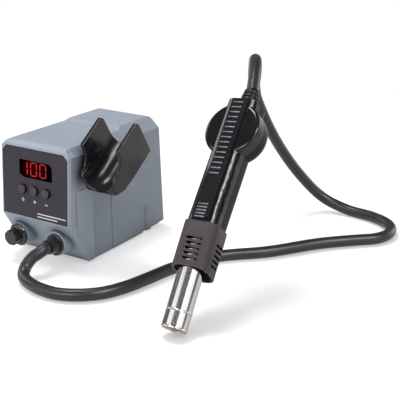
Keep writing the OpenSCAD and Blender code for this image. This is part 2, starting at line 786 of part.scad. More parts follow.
// Outline of the cradle seen from its side: from the lip a hollow curve sweeps up to the rims
scallop = [rim_start - 6.4, rim_h - 3.5];
lip_low = -15.5;
lip_reach = 4;
cradle_side = concat(
  [[rim_start, -cradle_low], [cradle_len - 4, -cradle_low], [cradle_len - 1.5, rim_h - 4],
   [cradle_len - 4, rim_h], [rim_start + 0.5, rim_h]],
  [for (q = ellipse_arc(scallop.x, scallop.y, 0, -90, 8)) q + [5, rim_h - 1]],
  [[1.5, -0.5], [-1.5, -5], [0.6 - lip_reach, -9], [-lip_reach, lip_low + 3], [0.8 - lip_reach, lip_low],
   [8, lip_low - 4]]
);

// Its plan outline: the sides turn in towards the lip
lip_turn = [11, 16];
module cradle_plan() polygon(concat(
  [[cradle_w / 2, cradle_len + 10], [-cradle_w / 2, cradle_len + 10]],
  [for (q = ellipse_arc(lip_turn.x, lip_turn.y, 180, 270, 8))
    q + [lip_turn.x - cradle_w / 2, lip_turn.y - lip_reach]],
  [for (q = ellipse_arc(lip_turn.x, lip_turn.y, 270, 360, 8))
    q + [cradle_w / 2 - lip_turn.x, lip_turn.y - lip_reach]]
));

// Its outer section, with the two lower corners cut off
cradle_corner = [7, 4.5];
module cradle_section() polygon([
  [-cradle_w / 2, big], [-cradle_w / 2, cradle_corner.y - cradle_low],
  [cradle_corner.x - cradle_w / 2, -cradle_low], [cradle_w / 2 - cradle_corner.x, -cradle_low],
  [cradle_w / 2, cradle_corner.y - cradle_low], [cradle_w / 2, big]
]);

// What the gun lies in: a round trough open at its top, whose floor bends up towards the lip
floor_bend_y = 18;
floor_bend_r = 22;
module trough() {
  translate([0, cradle_len + 20, 0]) rotate([90, 0, 0]) linear_extrude(cradle_len + 20 - floor_bend_y)
    circle(cradle_r);
  intersection() {
    translate([0, floor_bend_y, floor_bend_r]) rotate([0, 90, 0]) rotate_extrude()
      translate([floor_bend_r, 0]) circle(cradle_r);
    translate([-cradle_w, floor_bend_y - 30, -30]) cube([2 * cradle_w, 30 + weld, 35]);
  }
  translate([-cradle_r, -big / 2, 0]) cube([2 * cradle_r, big, big]);
}

module cradle() color([0.10, 0.10, 0.11]) cradle_frame() difference() {
  intersection() {
    across(cradle_side, cradle_w);
    translate([0, 0, -big / 2]) linear_extrude(big) cradle_plan();
    translate([0, big / 2, 0]) rotate([90, 0, 0]) linear_extrude(big) cradle_section();
  }
  trough();
  for (p = cradle_screw_places) rod_x(cradle_screw_r + seat_gap, -cradle_w / 2 - 1, cradle_t + 0.2, p);
  translate([0, magnet_y, -cradle_low - 1]) cylinder(r = magnet_r + fit, h = 1 + magnet_t + 2 * seat_gap);
}

bracket_size = [26, 14];
module cradle_bracket() color([0.09, 0.09, 0.10]) translate([half_w, 0, 0]) cradle_frame_offset()
  difference() {
    rotate([90, 0, 90]) translate([0, 0, seat_gap]) linear_extrude(bracket_t - 2 * seat_gap)
      translate((cradle_screw_places[0] + cradle_screw_places[1]) / 2)
        rounded_rect(bracket_size.x, bracket_size.y, 4);
    for (p = cradle_screw_places) rod_x(cradle_screw_r + run, -1, bracket_t + 2, p);
  }

// Screws driven from inside the box, through its wall and the bracket, into the cradle
module cradle_screws() color([0.74, 0.74, 0.76]) translate([half_w, 0, 0])
  cradle_frame_offset() for (p = cradle_screw_places) {
    rod_x(head_r, -wall - seat_gap - 1.6, 1.6, p);
    rod_x(cradle_screw_r, -wall - seat_gap - 1, wall + seat_gap + bracket_t + cradle_t - 0.2, p);
  }

module cradle_magnet() color([0.70, 0.70, 0.72]) cradle_frame()
  translate([0, magnet_y, seat_gap - cradle_low]) cylinder(r = magnet_r, h = magnet_t);

// The gun stands on the lowest point of its nozzle's rim
gun_x = 200.5;
gun_y = -134.5;
ring_r = tube_d / 2 + ring_proud;
ring_edge = 0.6;
gun_z = (ring_r - ring_edge) * sin(gun_lean);
collar_top = tube_show + collar_len;
collar_r = 13.5;

module gun_frame() translate([gun_x, gun_y, gun_z]) rotate([-gun_lean, 0, gun_turn])
  rotate([0, 0, -gun_roll]) children();
module handle_frame() gun_frame() translate([0, handle_shift, collar_top]) rotate([-handle_tilt, 0, 0])
  children();

// The end ring of the nozzle, with a slatted guard over its mouth
guard_t = 1;
module nozzle_tip() color([0.75, 0.73, 0.70]) gun_frame() {
  rotate_extrude() polygon([
    [ring_r - 1.4, 0], [ring_r - ring_edge, 0], [ring_r, 2 * ring_edge], [ring_r, tip_len - ring_proud],
    [ring_r - ring_proud, tip_len], [tube_d / 2 - tube_t - 0.6, tip_len], [tube_d / 2 - tube_t - 0.6, 1.6]
  ]);
  intersection() {
    translate([0, 0, 1]) cylinder(r = tube_d / 2 - 1, h = guard_t);
    for (i = [-4 : 4]) translate([i * 2.4 - 0.35, -20, 0]) cube([0.7, 40, 5]);
  }
  intersection() {
    translate([0, 0, 1]) cylinder(r = tube_d / 2 - 1, h = guard_t);
    for (i = [-1 : 1]) translate([-20, i * 6 - 0.35, 0]) cube([40, 0.7, 5]);
  }
}

module nozzle_tube() color([0.75, 0.73, 0.70]) gun_frame() difference() {
  translate([0, 0, tip_len + 0.05]) cylinder(r = tube_d / 2, h = collar_top - tip_len - 4);
  translate([0, 0, tip_len - 1]) cylinder(r = tube_d / 2 - tube_t, h = collar_top);
}

// The ceramic heater core, its coil and the mica sleeve round them
core_r = 5.5;
coil_wire = 0.45;
coil_turns = 14;
core_low = tip_len + 14;
core_high = collar_top - 6;

module heater_core() color([0.88, 0.86, 0.80]) gun_frame() difference() {
  union() {
    translate([0, 0, core_low]) cylinder(r = core_r, h = core_high - core_low);
    translate([0, 0, core_high - 4]) cylinder(r = tube_d / 2 - tube_t - 1.2, h = 4);
  }
  for (i = [0 : 5]) rotate(i * 60) translate([3.2, 0, core_low - 1]) cylinder(r = 1, h = 200);
}

module heater_coil() color([0.62, 0.60, 0.58]) gun_frame()
  for (i = [0 : coil_turns - 1])
    translate([0, 0, core_low + 3 + i * (core_high - core_low - 10) / (coil_turns - 1)])
      rotate_extrude($fn = 24) translate([core_r + coil_wire + 0.1, 0]) circle(coil_wire, $fn = 16);

module mica_liner() color([0.80, 0.74, 0.60]) gun_frame() difference() {
  translate([0, 0, core_low - 4]) cylinder(r = tube_d / 2 - tube_t - fit, h = core_high - core_low + 3);
  translate([0, 0, core_low - 5]) cylinder(r = tube_d / 2 - tube_t - fit - 0.5, h = 200);
}

// The heat collar: a slotted sleeve with a tapered neck and a slanted rim
collar_wall = 2;
collar_neck = 8;
neck_straight = 1.5;
neck_inset = 1.9;
slot_w = 15;
slot_h = 2.4;
slot_low = 6;
slot_pitch = 4.55;

module collar_section(inset) rounded_rect(collar_w - 2 * inset, collar_w - 2 * inset, collar_r - inset);
module collar_frame() gun_frame() translate([0, handle_shift, 0]) rotate(collar_twist) children();

// The collar's outline in one view: its rim below and the tapered neck above
module collar_outline(left_low, right_low) polygon([
  [-collar_w / 2, left_low], [collar_w / 2, right_low], [collar_w / 2, collar_top - collar_neck],
  [collar_w / 2 - neck_inset, collar_top - neck_straight], [collar_w / 2 - neck_inset, collar_top],
  [neck_inset - collar_w / 2, collar_top], [neck_inset - collar_w / 2, collar_top - neck_straight],
  [-collar_w / 2, collar_top - collar_neck]
]);

module heat_collar() color([0.24, 0.22, 0.22]) difference() {
  collar_frame() intersection() {
    translate([0, 0, tube_show - collar_reach]) linear_extrude(collar_len + collar_reach) collar_section(0);
    rotate([90, 0, 90]) linear_extrude(collar_w, center = true)
      collar_outline(tube_show, tube_show - collar_reach);
    rotate([90, 0, 0]) linear_extrude(collar_w, center = true)
      collar_outline(tube_show - collar_reach, tube_show - collar_reach);
  }
  collar_frame() {
    translate([0, 0, tube_show - collar_reach - 1])
      linear_extrude(collar_len + collar_reach + 1 - collar_neck) collar_section(collar_wall);
    for (i = [0 : slot_count - 1]) for (a = [0, 90, 180, 270])
      translate([0, 0, tube_show + slot_low + i * slot_pitch]) rotate(a)
        translate([0, -collar_w / 2, 0]) rotate([90, 0, 0]) translate([0, 0, -5])
          linear_extrude(10) rounded_rect(slot_w, slot_h, 1.1);
  }
  gun_frame() translate([0, 0, tube_show - 1]) cylinder(r = tube_d / 2 + fit, h = 200);
}

// The handle: a front and a rear shell that also house the fan
handle_r = 9;
split_y = -2;
fan_z = handle_len - fan_from_top;
fan_r = fan_house_d / 2;
fan_front = -handle_w / 2 + 2.5;
fan_back = handle_w / 2 + 0.5;

module handle_section(inset) rounded_rect(handle_w - 2 * inset, handle_w - 2 * inset, handle_r - inset);

// Outline of the fan housing as a turned body about the fan's own axis, moved in by inset
module fan_body(inset) {
  r = fan_r - inset;
  front = fan_front + inset;
  back = fan_back - inset;
  translate([0, 0, fan_z]) rotate([-90, 0, 0]) rotate_extrude() polygon(concat(
    [[0, front], [r - 1.6, front], [r - 0.5, front + 0.4], [r, front + 1.5]],
    [[r, back - 9.5], [r - 0.6, back - 6.5], [r - 2.2, back - 3.5], [r - 5, back - 0.7], [r - 7, back],
     [0, back]]
  ));
}

// The handle's outline, long enough at its foot to be cut level with the collar's top
foot_len = 3;
module handle_block(inset) {
  translate([0, 0, -foot_len]) linear_extrude(handle_len + foot_len - inset) handle_section(inset);
  fan_body(inset);
}

module cut_at_collar() difference() {
  children();
  gun_frame() translate([-big / 2, -big / 2, collar_top + seat_gap - big]) cube(big);
}

module in_front_of_split(gap) translate([-big / 2, split_y - gap - big, -big / 2]) cube(big);

cable_hole_r = 6;
module cable_hole() translate([0, boot_y, handle_len - 10]) cylinder(r = cable_hole_r, h = 20);

// Screw posts, the motor's seat and the small board's feet, all on the shells' inner side
handle_screw_z = [14, 54];
handle_post_r = 3.4;
head_pocket = 1.3;
inner_front = -handle_w / 2 + shell_t;
inner_back = handle_w / 2 - shell_t;
motor_y = inner_front + 1;
reed_y = 1.5;
reed_low = 20;
reed_len = 28;
reed_places = [for (x = [-5.5, 5.5], z = [reed_low + 3, reed_low + reed_len - 3]) [x, z]];

module handle_front() color([0.08, 0.08, 0.09]) cut_at_collar() handle_frame() difference() {
  union() {
    difference() {
      intersection() {
        handle_block(0);
        in_front_of_split(seat_gap);
      }
      handle_block(shell_t);
      cable_hole();
    }
    for (z = handle_screw_z)
      rod_y(handle_post_r, inner_front - weld, split_y - seat_gap - inner_front + weld, [0, z]);
    rod_y(motor_r, inner_front - 0.6, motor_y - seat_gap - inner_front + 0.6, [0, fan_z]);
    for (p = reed_places) rod_y(1.6, inner_front - 0.8, reed_y - seat_gap - inner_front + 0.8, p);
  }
  for (z = handle_screw_z) rod_y(post_hole_r, inner_front + 1, 60, [0, z]);
}

grille_r = 15;
module handle_rear() color([0.16, 0.16, 0.17]) cut_at_collar() handle_frame() difference() {
  union() {
    difference() {
      handle_block(0);
      in_front_of_split(0);
      handle_block(shell_t);
      cable_hole();
    }
    for (z = handle_screw_z) rod_y(handle_post_r, split_y, inner_back - split_y + weld, [0, z]);
  }
  rod_y(grille_r, 0, 60, [0, fan_z]);
  for (z = handle_screw_z) {
    rod_y(screw_r + 0.1, split_y - 1, 60, [0, z]);
    rod_y(head_r + 0.3, handle_w / 2 - head_pocket, 60, [0, z]);
  }
}

module handle_screws() color([0.60, 0.60, 0.62]) handle_frame() for (z = handle_screw_z)
  translate([0, handle_w / 2 - head_pocket + seat_gap, z]) rotate([90, 0, 0]) screw(handle_w - 6);

// The round intake cover with rings and spokes, let into the rear shell
cover_t = 1.4;
module fan_cover() color([0.10, 0.10, 0.11]) handle_frame() translate([0, fan_back, fan_z])
  rotate([90, 0, 0]) {
    difference() {
      union() {
        translate([0, 0, -cover_t]) cylinder(r = grille_r + 2.5, h = cover_t - seat_gap);
        translate([0, 0, -cover_t]) cylinder(r = grille_r - fit, h = cover_t + shell_t - 0.2);
      }
      translate([0, 0, -20]) cylinder(r = grille_r - 1.5, h = 40);
    }
    for (r = [3.8, 7.6, 11.4]) difference() {
      translate([0, 0, -cover_t]) cylinder(r = r + 0.6, h = 1.6);
      translate([0, 0, -20]) cylinder(r = r - 0.6, h = 40);
    }
    for (i = [0 : 7]) rotate(i * 45) translate([3.4, -0.6, -cover_t]) cube([grille_r - 4.4, 1.2, 2.2]);
  }

// The fan: a motor on its seat in the front shell and a wheel of curved blades on its shaft
motor_r = 8;
motor_shaft_r = 1;
wheel_back = fan_back - shell_t - 2.6;
wheel_w = 11;
hub_end_t = 3;
motor_len = wheel_back - hub_end_t - motor_y - 0.9;
hub_t = 1.4;

module fan_motor() color([0.55, 0.55, 0.58]) handle_frame() {
  rod_y(motor_r - 0.4, motor_y, motor_len, [0, fan_z]);
  rod_y(motor_shaft_r, motor_y + motor_len - weld, wheel_back - motor_y - motor_len - 0.4, [0, fan_z]);
}

module fan_impeller() color([0.20, 0.22, 0.25]) handle_frame() translate([0, wheel_back, fan_z])
  rotate([90, 0, 0]) difference() {
    union() {
      translate([0, 0, wheel_w - 1.2]) cylinder(r = impeller_d / 2, h = 1.2);
      cylinder(r = motor_r + run + hub_t, h = wheel_w);
      difference() {
        cylinder(r = impeller_d / 2, h = 1);
        translate([0, 0, -1]) cylinder(r = impeller_d / 2 - 5, h = 3);
      }
      for (i = [0 : blade_count - 1]) rotate(i * 360 / blade_count)
        linear_extrude(wheel_w) blade_outline();
    }
    translate([0, 0, hub_end_t]) cylinder(r = motor_r + run, h = 40);
    translate([0, 0, -1]) cylinder(r = motor_shaft_r + 0.05, h = 10);
  }

// One forward-curved blade between two arcs
blade_r = 6;
module blade_outline() {
  outer = impeller_d / 2 - 0.3;
  inner = outer - 5;
  intersection() {
    difference() {
      translate([outer - 4, blade_r]) circle(blade_r);
      translate([outer - 4 + 0.3, blade_r + 0.7]) circle(blade_r);
    }
    translate([inner, -1]) square([outer - inner, 4]);
  }
}

// The small board with the cradle sensor, in the lower handle
module reed_board() color([0.12, 0.35, 0.20]) handle_frame() {
  translate([-8, reed_y, reed_low]) cube([16, 1.6, reed_len]);
  translate([-1.2, reed_y - 2.4, reed_low + 7]) cube([2.4, 2.4 + weld, 14]);
}

// The raised strip on the handle's front, with its ribs
strip_w = 18;
strip_t = 1.2;
rib_w = 10;
rib_h = 0.5;
rib_count = 15;
rib_pitch = 5.15;
low_rib_count = 5;
low_rib_pitch = 3;

module grip_strip() color([0.09, 0.09, 0.10]) handle_frame()
  translate([0, -handle_w / 2 - seat_gap, 0]) {
    translate([0, 0, handle_len / 2]) rotate([90, 0, 0]) linear_extrude(strip_t)
      rounded_rect(strip_w, handle_len - 3, 4);
    for (i = [0 : rib_count - 1]) rib(handle_len - 5 - i * rib_pitch);
    for (i = [0 : low_rib_count - 1]) rib(2.5 + i * low_rib_pitch);
  }

module rib(z) translate([-rib_w / 2, -strip_t - rib_h, z - 0.6]) cube([rib_w, rib_h + weld, 1.2]);

// The boot where the hose enters the handle: a cone with rings round it
boot_len = 16;
boot_y = 1;
boot_low_r = hose_d / 2 + 3.2;
boot_high_r = hose_d / 2 + 1.4;
boot_rings = 4;
boot_groove = 1;
function boot_r(z) = boot_low_r + (boot_high_r - boot_low_r) * z / boot_len;

module cable_boot() color([0.06, 0.06, 0.07]) handle_frame() translate([0, boot_y, handle_len]) difference() {
  union() {
    translate([0, 0, seat_gap]) {
      cylinder(r1 = boot_low_r - boot_groove, r2 = boot_high_r - boot_groove, h = boot_len);
      for (i = [0 : boot_rings - 1]) {
        low = i * boot_len / boot_rings;
        high = (i + 1) * boot_len / boot_rings - (i < boot_rings - 1 ? boot_groove : 0);
        translate([0, 0, low]) cylinder(r1 = boot_r(low), r2 = boot_r(high), h = high - low);
      }
    }
    translate([0, 0, -shell_t]) cylinder(r = cable_hole_r - fit, h = shell_t + 1);
  }
  translate([0, 0, -20]) cylinder(r = hose_d / 2 - 2.5, h = 60);
}

// Turning a vector about X or Z, and places on the gun given in the frame of its handle
function turned_x(v, a) = [v.x, v.y * cos(a) - v.z * sin(a), v.y * sin(a) + v.z * cos(a)];
function turned_z(v, a) = [v.x * cos(a) - v.y * sin(a), v.x * sin(a) + v.y * cos(a), v.z];
function on_gun(v) = [gun_x, gun_y, gun_z] + turned_z(turned_x(turned_z(v, -gun_roll), -gun_lean), gun_turn);
function on_handle(v) = on_gun([0, handle_shift, collar_top] + turned_x(v, -handle_tilt));

// The hose: from the gland, over chosen points on the bench, up and over to the gun's boot
hose_start = [port_x, hose_start_y - seat_gap, boss_z];
hose_end = on_handle([0, boot_y, handle_len + boot_len + 2 * seat_gap]);
hose_end_way = on_handle([0, 0, 0]) - on_handle([0, 0, 1]);
hose_points = [
  [23.5, -94, 25], [22, -99, 23], [18.5, -105, 19.5], [16.5, -112, 13], [20, -119.5, 8], [28, -125, 6.5],
  [39, -129.5, 6.4], [53, -132.5, 6.4], [72, -132, 6.4], [91, -123, 6.4], [106, -108, 6.4],
  [116, -86, 6.4], [122, -60, 6.4], [128, -30, 6.4], [139, -3, 6.4], [153, 23, 6.4],
  [187, 57, 6.4], [219, 102, 6.4], [247, 131, 6.4], [263, 146, 6.4], [270, 162, 6.4],
  [268, 180, 6.4], [257, 195, 6.4], [235, 206, 6.4], [204, 211, 6.8], [175, 206, 18],
  [155, 190, 44], [141, 172, 74], [134, 151, 105], [131, 139, 124], [130, 130, 139],
  [131.5, 121, 154], [135, 112, 170], [141.5, 101, 185], [149, 88, 190.5], [157, 75, 194],
  [165, 61, 193.5], [172, 48, 189.5], [177.5, 36, 183]
];

module hose() color([0.09, 0.09, 0.10])
  sweep(concat([hose_start], hose_points, [hose_end]), hose_d / 2, 10, [0, -1, 0], hose_end_way);

// A point on the smooth curve through a list, with t counted in points from its start
function curve(p, t) = let (
    n = len(p) - 1,
    i = min(floor(t), n - 1),
    s = t - i,
    a = p[max(i - 1, 0)],
    b = p[i],
    c = p[i + 1],
    d = p[min(i + 2, n)]
  ) 0.5 * (2 * b + (c - a) * s + (2 * a - 5 * b + 4 * c - d) * s * s + (3 * b - a - 3 * c + d) * s * s * s);

// Two directions square to a line, the first one level
function across_dirs(v) = let (a = unit(cross(v, [0, 0, 1]))) [a, unit(cross(v, a))];

module sweep(points, r, sides, first_way, last_way) {
  steps = 2 * (len(points) - 1);
  centres = [for (i = [0 : steps]) curve(points, i / 2)];
  rings = [for (i = [0 : steps])
    let (
      v = i == 0 ? first_way : i == steps ? last_way : centres[i + 1] - centres[i - 1],
      dirs = across_dirs(v)
    ) [for (k = [0 : sides - 1]) let (a = k * 360 / sides)
      centres[i] + r * (cos(a) * dirs[0] + sin(a) * dirs[1])]];
  polyhedron(
    points = flat(rings),
    faces = concat(
      [[for (k = [0 : sides - 1]) k]],
      [for (i = [0 : steps - 1], k = [0 : sides - 1]) [
        i * sides + k, (i + 1) * sides + k, (i + 1) * sides + (k + 1) % sides, i * sides + (k + 1) % sides
      ]],
      [[for (k = [sides - 1 : -1 : 0]) steps * sides + k]]
    )
  );
}

base_tray();
housing_cover();
front_bezel();
rear_panel();
feet();
base_screws();
rear_screws();
front_panel();
display_window();
display_digits();
display_module();
front_board();
tact_switches();
button_power();
button_up();
button_down();
flow_knob();
flow_pot();
hose_gland();
gland_nut();
main_board();
board_parts();
heat_sink();
transformer();
mains_inlet();
rocker_frame();
power_rocker();
cradle();
cradle_bracket();
cradle_screws();
cradle_magnet();
handle_front();
handle_rear();
grip_strip();
handle_screws();
fan_cover();
fan_motor();
fan_impeller();
reed_board();
heat_collar();
nozzle_tube();
nozzle_tip();
heater_core();
heater_coil();
mica_liner();
cable_boot();
hose();
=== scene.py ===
import bpy
import math
from mathutils import Matrix, Vector


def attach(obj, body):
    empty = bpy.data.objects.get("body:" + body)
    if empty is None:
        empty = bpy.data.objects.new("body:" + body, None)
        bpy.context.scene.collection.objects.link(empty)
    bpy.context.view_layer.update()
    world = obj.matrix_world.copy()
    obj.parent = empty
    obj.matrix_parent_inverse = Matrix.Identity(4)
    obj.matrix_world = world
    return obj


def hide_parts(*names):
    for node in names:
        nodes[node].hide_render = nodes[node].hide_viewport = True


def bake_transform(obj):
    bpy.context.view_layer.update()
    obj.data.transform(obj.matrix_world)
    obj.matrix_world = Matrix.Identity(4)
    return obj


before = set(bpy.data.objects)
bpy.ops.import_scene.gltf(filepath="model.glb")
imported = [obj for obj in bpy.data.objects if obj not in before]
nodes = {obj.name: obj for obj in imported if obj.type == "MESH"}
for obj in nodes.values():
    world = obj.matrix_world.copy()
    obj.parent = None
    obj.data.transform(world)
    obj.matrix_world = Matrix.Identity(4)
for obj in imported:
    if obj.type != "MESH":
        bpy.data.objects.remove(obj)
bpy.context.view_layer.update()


# Working habits: what is selected, how a mesh is shaped, and how a piece is finished

merge_gap = 0.000002
flat_degrees = 0.6


def set_mode(mode):
    bpy.ops.object.mode_set(mode=mode)


def select_only(piece):
    if bpy.context.object and bpy.context.object.mode != "OBJECT":
        set_mode("OBJECT")
    bpy.ops.object.select_all(action="DESELECT")
    if piece:
        piece.select_set(True)
        bpy.context.view_layer.objects.active = piece


def pick(piece, kind, rule):
    """Goes to edit mode with only those vertices, edges or polygons selected that suit the rule."""
    select_only(piece)
    kinds = ("vertices", "edges", "polygons")
    bpy.context.tool_settings.mesh_select_mode = tuple(kind == other for other in kinds)
    set_mode("EDIT")
    bpy.ops.mesh.select_all(action="DESELECT")
    set_mode("OBJECT")
    for element in getattr(piece.data, kind):
        element.select = rule(element)
    set_mode("EDIT")


def pick_all(piece):
    pick(piece, "vertices", lambda point: True)


def shift_points(piece, rule, move):
    """Moves those points whose place suits the rule."""
    pick(piece, "vertices", lambda point: rule(point.co))
    bpy.ops.transform.translate(value=move)
    set_mode("OBJECT")


def cut(piece, place, facing, trim=True):
    """Cuts through a piece along a plane. With trim, what lies beyond goes and the cut is closed."""
    pick_all(piece)
    bpy.ops.mesh.bisect(plane_co=place, plane_no=facing, use_fill=trim, clear_outer=trim)
    set_mode("OBJECT")


def modify(piece, kind, **settings):
    select_only(piece)
    bpy.ops.object.modifier_add(type=kind)
    modifier = piece.modifiers[-1]
    for key, value in settings.items():
        setattr(modifier, key, value)
    bpy.ops.object.modifier_apply(modifier=modifier.name)


def settle(piece):
    """Puts the piece's place into its mesh, so that its object sits at the origin."""
    select_only(piece)
    bpy.ops.object.transform_apply(location=True, rotation=True, scale=True)


def smooth(piece, degrees):
    select_only(piece)
    bpy.ops.object.shade_smooth_by_angle(angle=math.radians(degrees))


def smooth_by_faces(piece, degrees):
    """Smooths a hard piece, with its large faces kept flat and the shading bent only in its roundings."""
    smooth(piece, degrees)
    modify(piece, "WEIGHTED_NORMAL", weight=100, keep_sharp=True)


def begin(add, name, **settings):
    """Adds a primitive with nothing else selected, as the start of a piece."""
    select_only(None)
    add(**settings)
    piece = bpy.context.object
    piece.name = name
    return piece


def copied(name, mesh):
    """A new object with a copy of a mesh of its own."""
    piece = bpy.data.objects.new(name, mesh.copy())
    bpy.context.scene.collection.objects.link(piece)
    return piece


def finish_piece(piece, body, material):
    piece.data.materials.clear()
    piece.data.materials.append(material)
    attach(piece, body)


def softened(node, name, body, material, width=0.0, segments=2, shape=None, clamp=True):
    """A moulding with its edges rounded, made from the CAD node's own mesh, which it then stands for."""
    sharp_from = 30
    piece = copied(name, nodes[node].data)
    select_only(piece)
    set_mode("EDIT")
    bpy.ops.mesh.select_all(action="SELECT")
    bpy.ops.mesh.customdata_custom_splitnormals_clear()
    bpy.ops.mesh.remove_doubles(threshold=merge_gap)
    bpy.ops.mesh.dissolve_limited(angle_limit=math.radians(flat_degrees))
    set_mode("OBJECT")
    if shape:
        shape(piece)
    if width:
        modify(piece, "BEVEL", width=width, segments=segments, limit_method="ANGLE",
               angle_limit=math.radians(sharp_from), use_clamp_overlap=clamp)
    smooth_by_faces(piece, sharp_from + 2)
    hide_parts(node)
    finish_piece(piece, body, material)


def turned(name, rings, where):
    """A closed turned piece: a circle, and each further ring drawn out from the last and sized to its radius.
    A ring is its radius and its level, in millimetres."""
    steps = 96
    radius, level = rings[0]
    piece = begin(bpy.ops.mesh.primitive_circle_add, name, vertices=steps, radius=radius / 1000)
    set_mode("EDIT")
    bpy.ops.mesh.select_all(action="SELECT")
    bpy.ops.transform.translate(value=(0, 0, level / 1000))
    for new_radius, new_level in rings[1:] + rings[:1]:
        rise, growth = (new_level - level) / 1000, new_radius / radius
        bpy.ops.mesh.extrude_edges_move(TRANSFORM_OT_translate={"value": (0, 0, rise)})
        bpy.ops.transform.resize(value=(growth, growth, 1), center_override=(0, 0, 0))
        radius, level = new_radius, new_level
    bpy.ops.mesh.select_all(action="SELECT")
    bpy.ops.mesh.remove_doubles(threshold=merge_gap)
    bpy.ops.mesh.normals_make_consistent(inside=False)
    set_mode("OBJECT")
    piece.matrix_world = where
    settle(piece)
    smooth_by_faces(piece, 40)
    return piece


# Camera

bpy.ops.object.camera_add(location=(0.5803, -0.6923, 0.3617),
                          rotation=(math.radians(70.4), 0, math.radians(32.4)))
camera = bpy.context.object
camera.name = "camera"
camera.data.lens = 81.9
camera.data.sensor_width = 36
camera.data.clip_start = 0.01
bpy.context.scene.camera = camera


# Frames of the panel, the gun and the cradle, as the CAD has them

def rotation(degrees, axis):
    return Matrix.Rotation(math.radians(degrees), 4, axis)


panel_frame = Matrix.Translation((0, -0.078, 0.046)) @ rotation(-3.8396, "X")
gun_turn = rotation(7, "Z") @ rotation(-40, "X") @ rotation(-8, "Z")
gun_frame = Matrix.Translation((0.2005, -0.1345, 0.007167)) @ gun_turn
handle_frame = gun_frame @ Matrix.Translation((0, 0.0032, 0.0935)) @ rotation(-4, "X")
fan_axis = handle_frame @ Matrix.Translation((0, 0, 0.0915)) @ rotation(90, "X")
cradle_frame = Matrix.Translation((0.07, -0.0672, 0.0959)) @ rotation(35, "X")


# Building blocks for materials

COLOUR, NUMBER, VECTOR = "NodeSocketColor", "NodeSocketFloat", "NodeSocketVector"
MID_GREY = (0.5, 0.5, 0.5, 1)
WHITE = (1, 1, 1, 1)


def srgb(r, g, b):
    """A colour as a picture shows it, 0 to 255, made linear."""
    return tuple((c / 255 / 12.92) if c <= 10 else ((c / 255 + 0.055) / 1.055) ** 2.4
                 for c in (r, g, b)) + (1,)


def feed(tree, node, inputs):
    """Gives a node its inputs: (socket, value) pairs, where a value may be another node's output."""
    for socket, value in inputs:
        if isinstance(value, bpy.types.NodeSocket):
            tree.links.new(value, node.inputs[socket])
        else:
            node.inputs[socket].default_value = value
    return node


def put(tree, kind, inputs=(), **settings):
    """Adds a node with its settings and inputs."""
    made = tree.nodes.new(kind)
    for key, value in settings.items():
        setattr(made, key, value)
    return feed(tree, made, inputs)


def maths(tree, operation, a, b=0.0, clamp=False):
    return put(tree, "ShaderNodeMath", [(0, a), (1, b)], operation=operation, use_clamp=clamp).outputs[0]


def vector_maths(tree, operation, a, b=(0, 0, 0)):
    """A vector for MULTIPLY, and a number for DOT_PRODUCT, DISTANCE and LENGTH."""
    made = put(tree, "ShaderNodeVectorMath", [(0, a), (1, b)], operation=operation)
    return made.outputs["Vector" if operation == "MULTIPLY" else "Value"]


def split(tree, vector):
    return put(tree, "ShaderNodeSeparateXYZ", [(0, vector)]).outputs


def ranged(tree, value, low, high, to_low, to_high):
    return put(tree, "ShaderNodeMapRange", [("Value", value), ("From Min", low), ("From Max", high),
                                            ("To Min", to_low), ("To Max", to_high)]).outputs["Result"]


def between(tree, value, low, high, soft):
    """1 where a value lies between two others, with soft ends."""
    return maths(tree, "MULTIPLY", ranged(tree, value, low - soft, low + soft, 0, 1),
                 ranged(tree, value, high - soft, high + soft, 1, 0))


def mixed(tree, factor, a, b, blend="MIX"):
    return put(tree, "ShaderNodeMix", [(0, factor), (6, a), (7, b)],
               data_type="RGBA", blend_type=blend).outputs[2]


def noise(tree, vector, scale, detail=2.0, rough=0.5):
    return put(tree, "ShaderNodeTexNoise", [("Vector", vector), ("Scale", scale), ("Detail", detail),
                                            ("Roughness", rough)]).outputs["Fac"]


def place_of(tree, frame_matrix=None):
    """Object coordinates, or the same seen from a turned frame."""
    place = tree.nodes.new("ShaderNodeTexCoord").outputs["Object"]
    if frame_matrix is None:
        return place
    return put(tree, "ShaderNodeMapping",
               [("Vector", place), ("Location", frame_matrix.to_translation()),
                ("Rotation", frame_matrix.to_euler())], vector_type="TEXTURE").outputs[0]


def new_material(name):
    material = bpy.data.materials.new(name)
    material.use_nodes = True
    tree = material.node_tree
    return material, tree, tree.nodes["Principled BSDF"]


# Shared effects, as shader node groups

def new_group(name, inputs, outputs):
    tree = bpy.data.node_groups.new(name, "ShaderNodeTree")
    for label, kind, value in inputs:
        socket = tree.interface.new_socket(name=label, in_out="INPUT", socket_type=kind)
        if value is not None:
            socket.default_value = value
    for label, kind in outputs:
        tree.interface.new_socket(name=label, in_out="OUTPUT", socket_type=kind)
    return tree, tree.nodes.new("NodeGroupInput").outputs, tree.nodes.new("NodeGroupOutput")


def use_group(tree, group, inputs):
    return put(tree, "ShaderNodeGroup", inputs, node_tree=group)


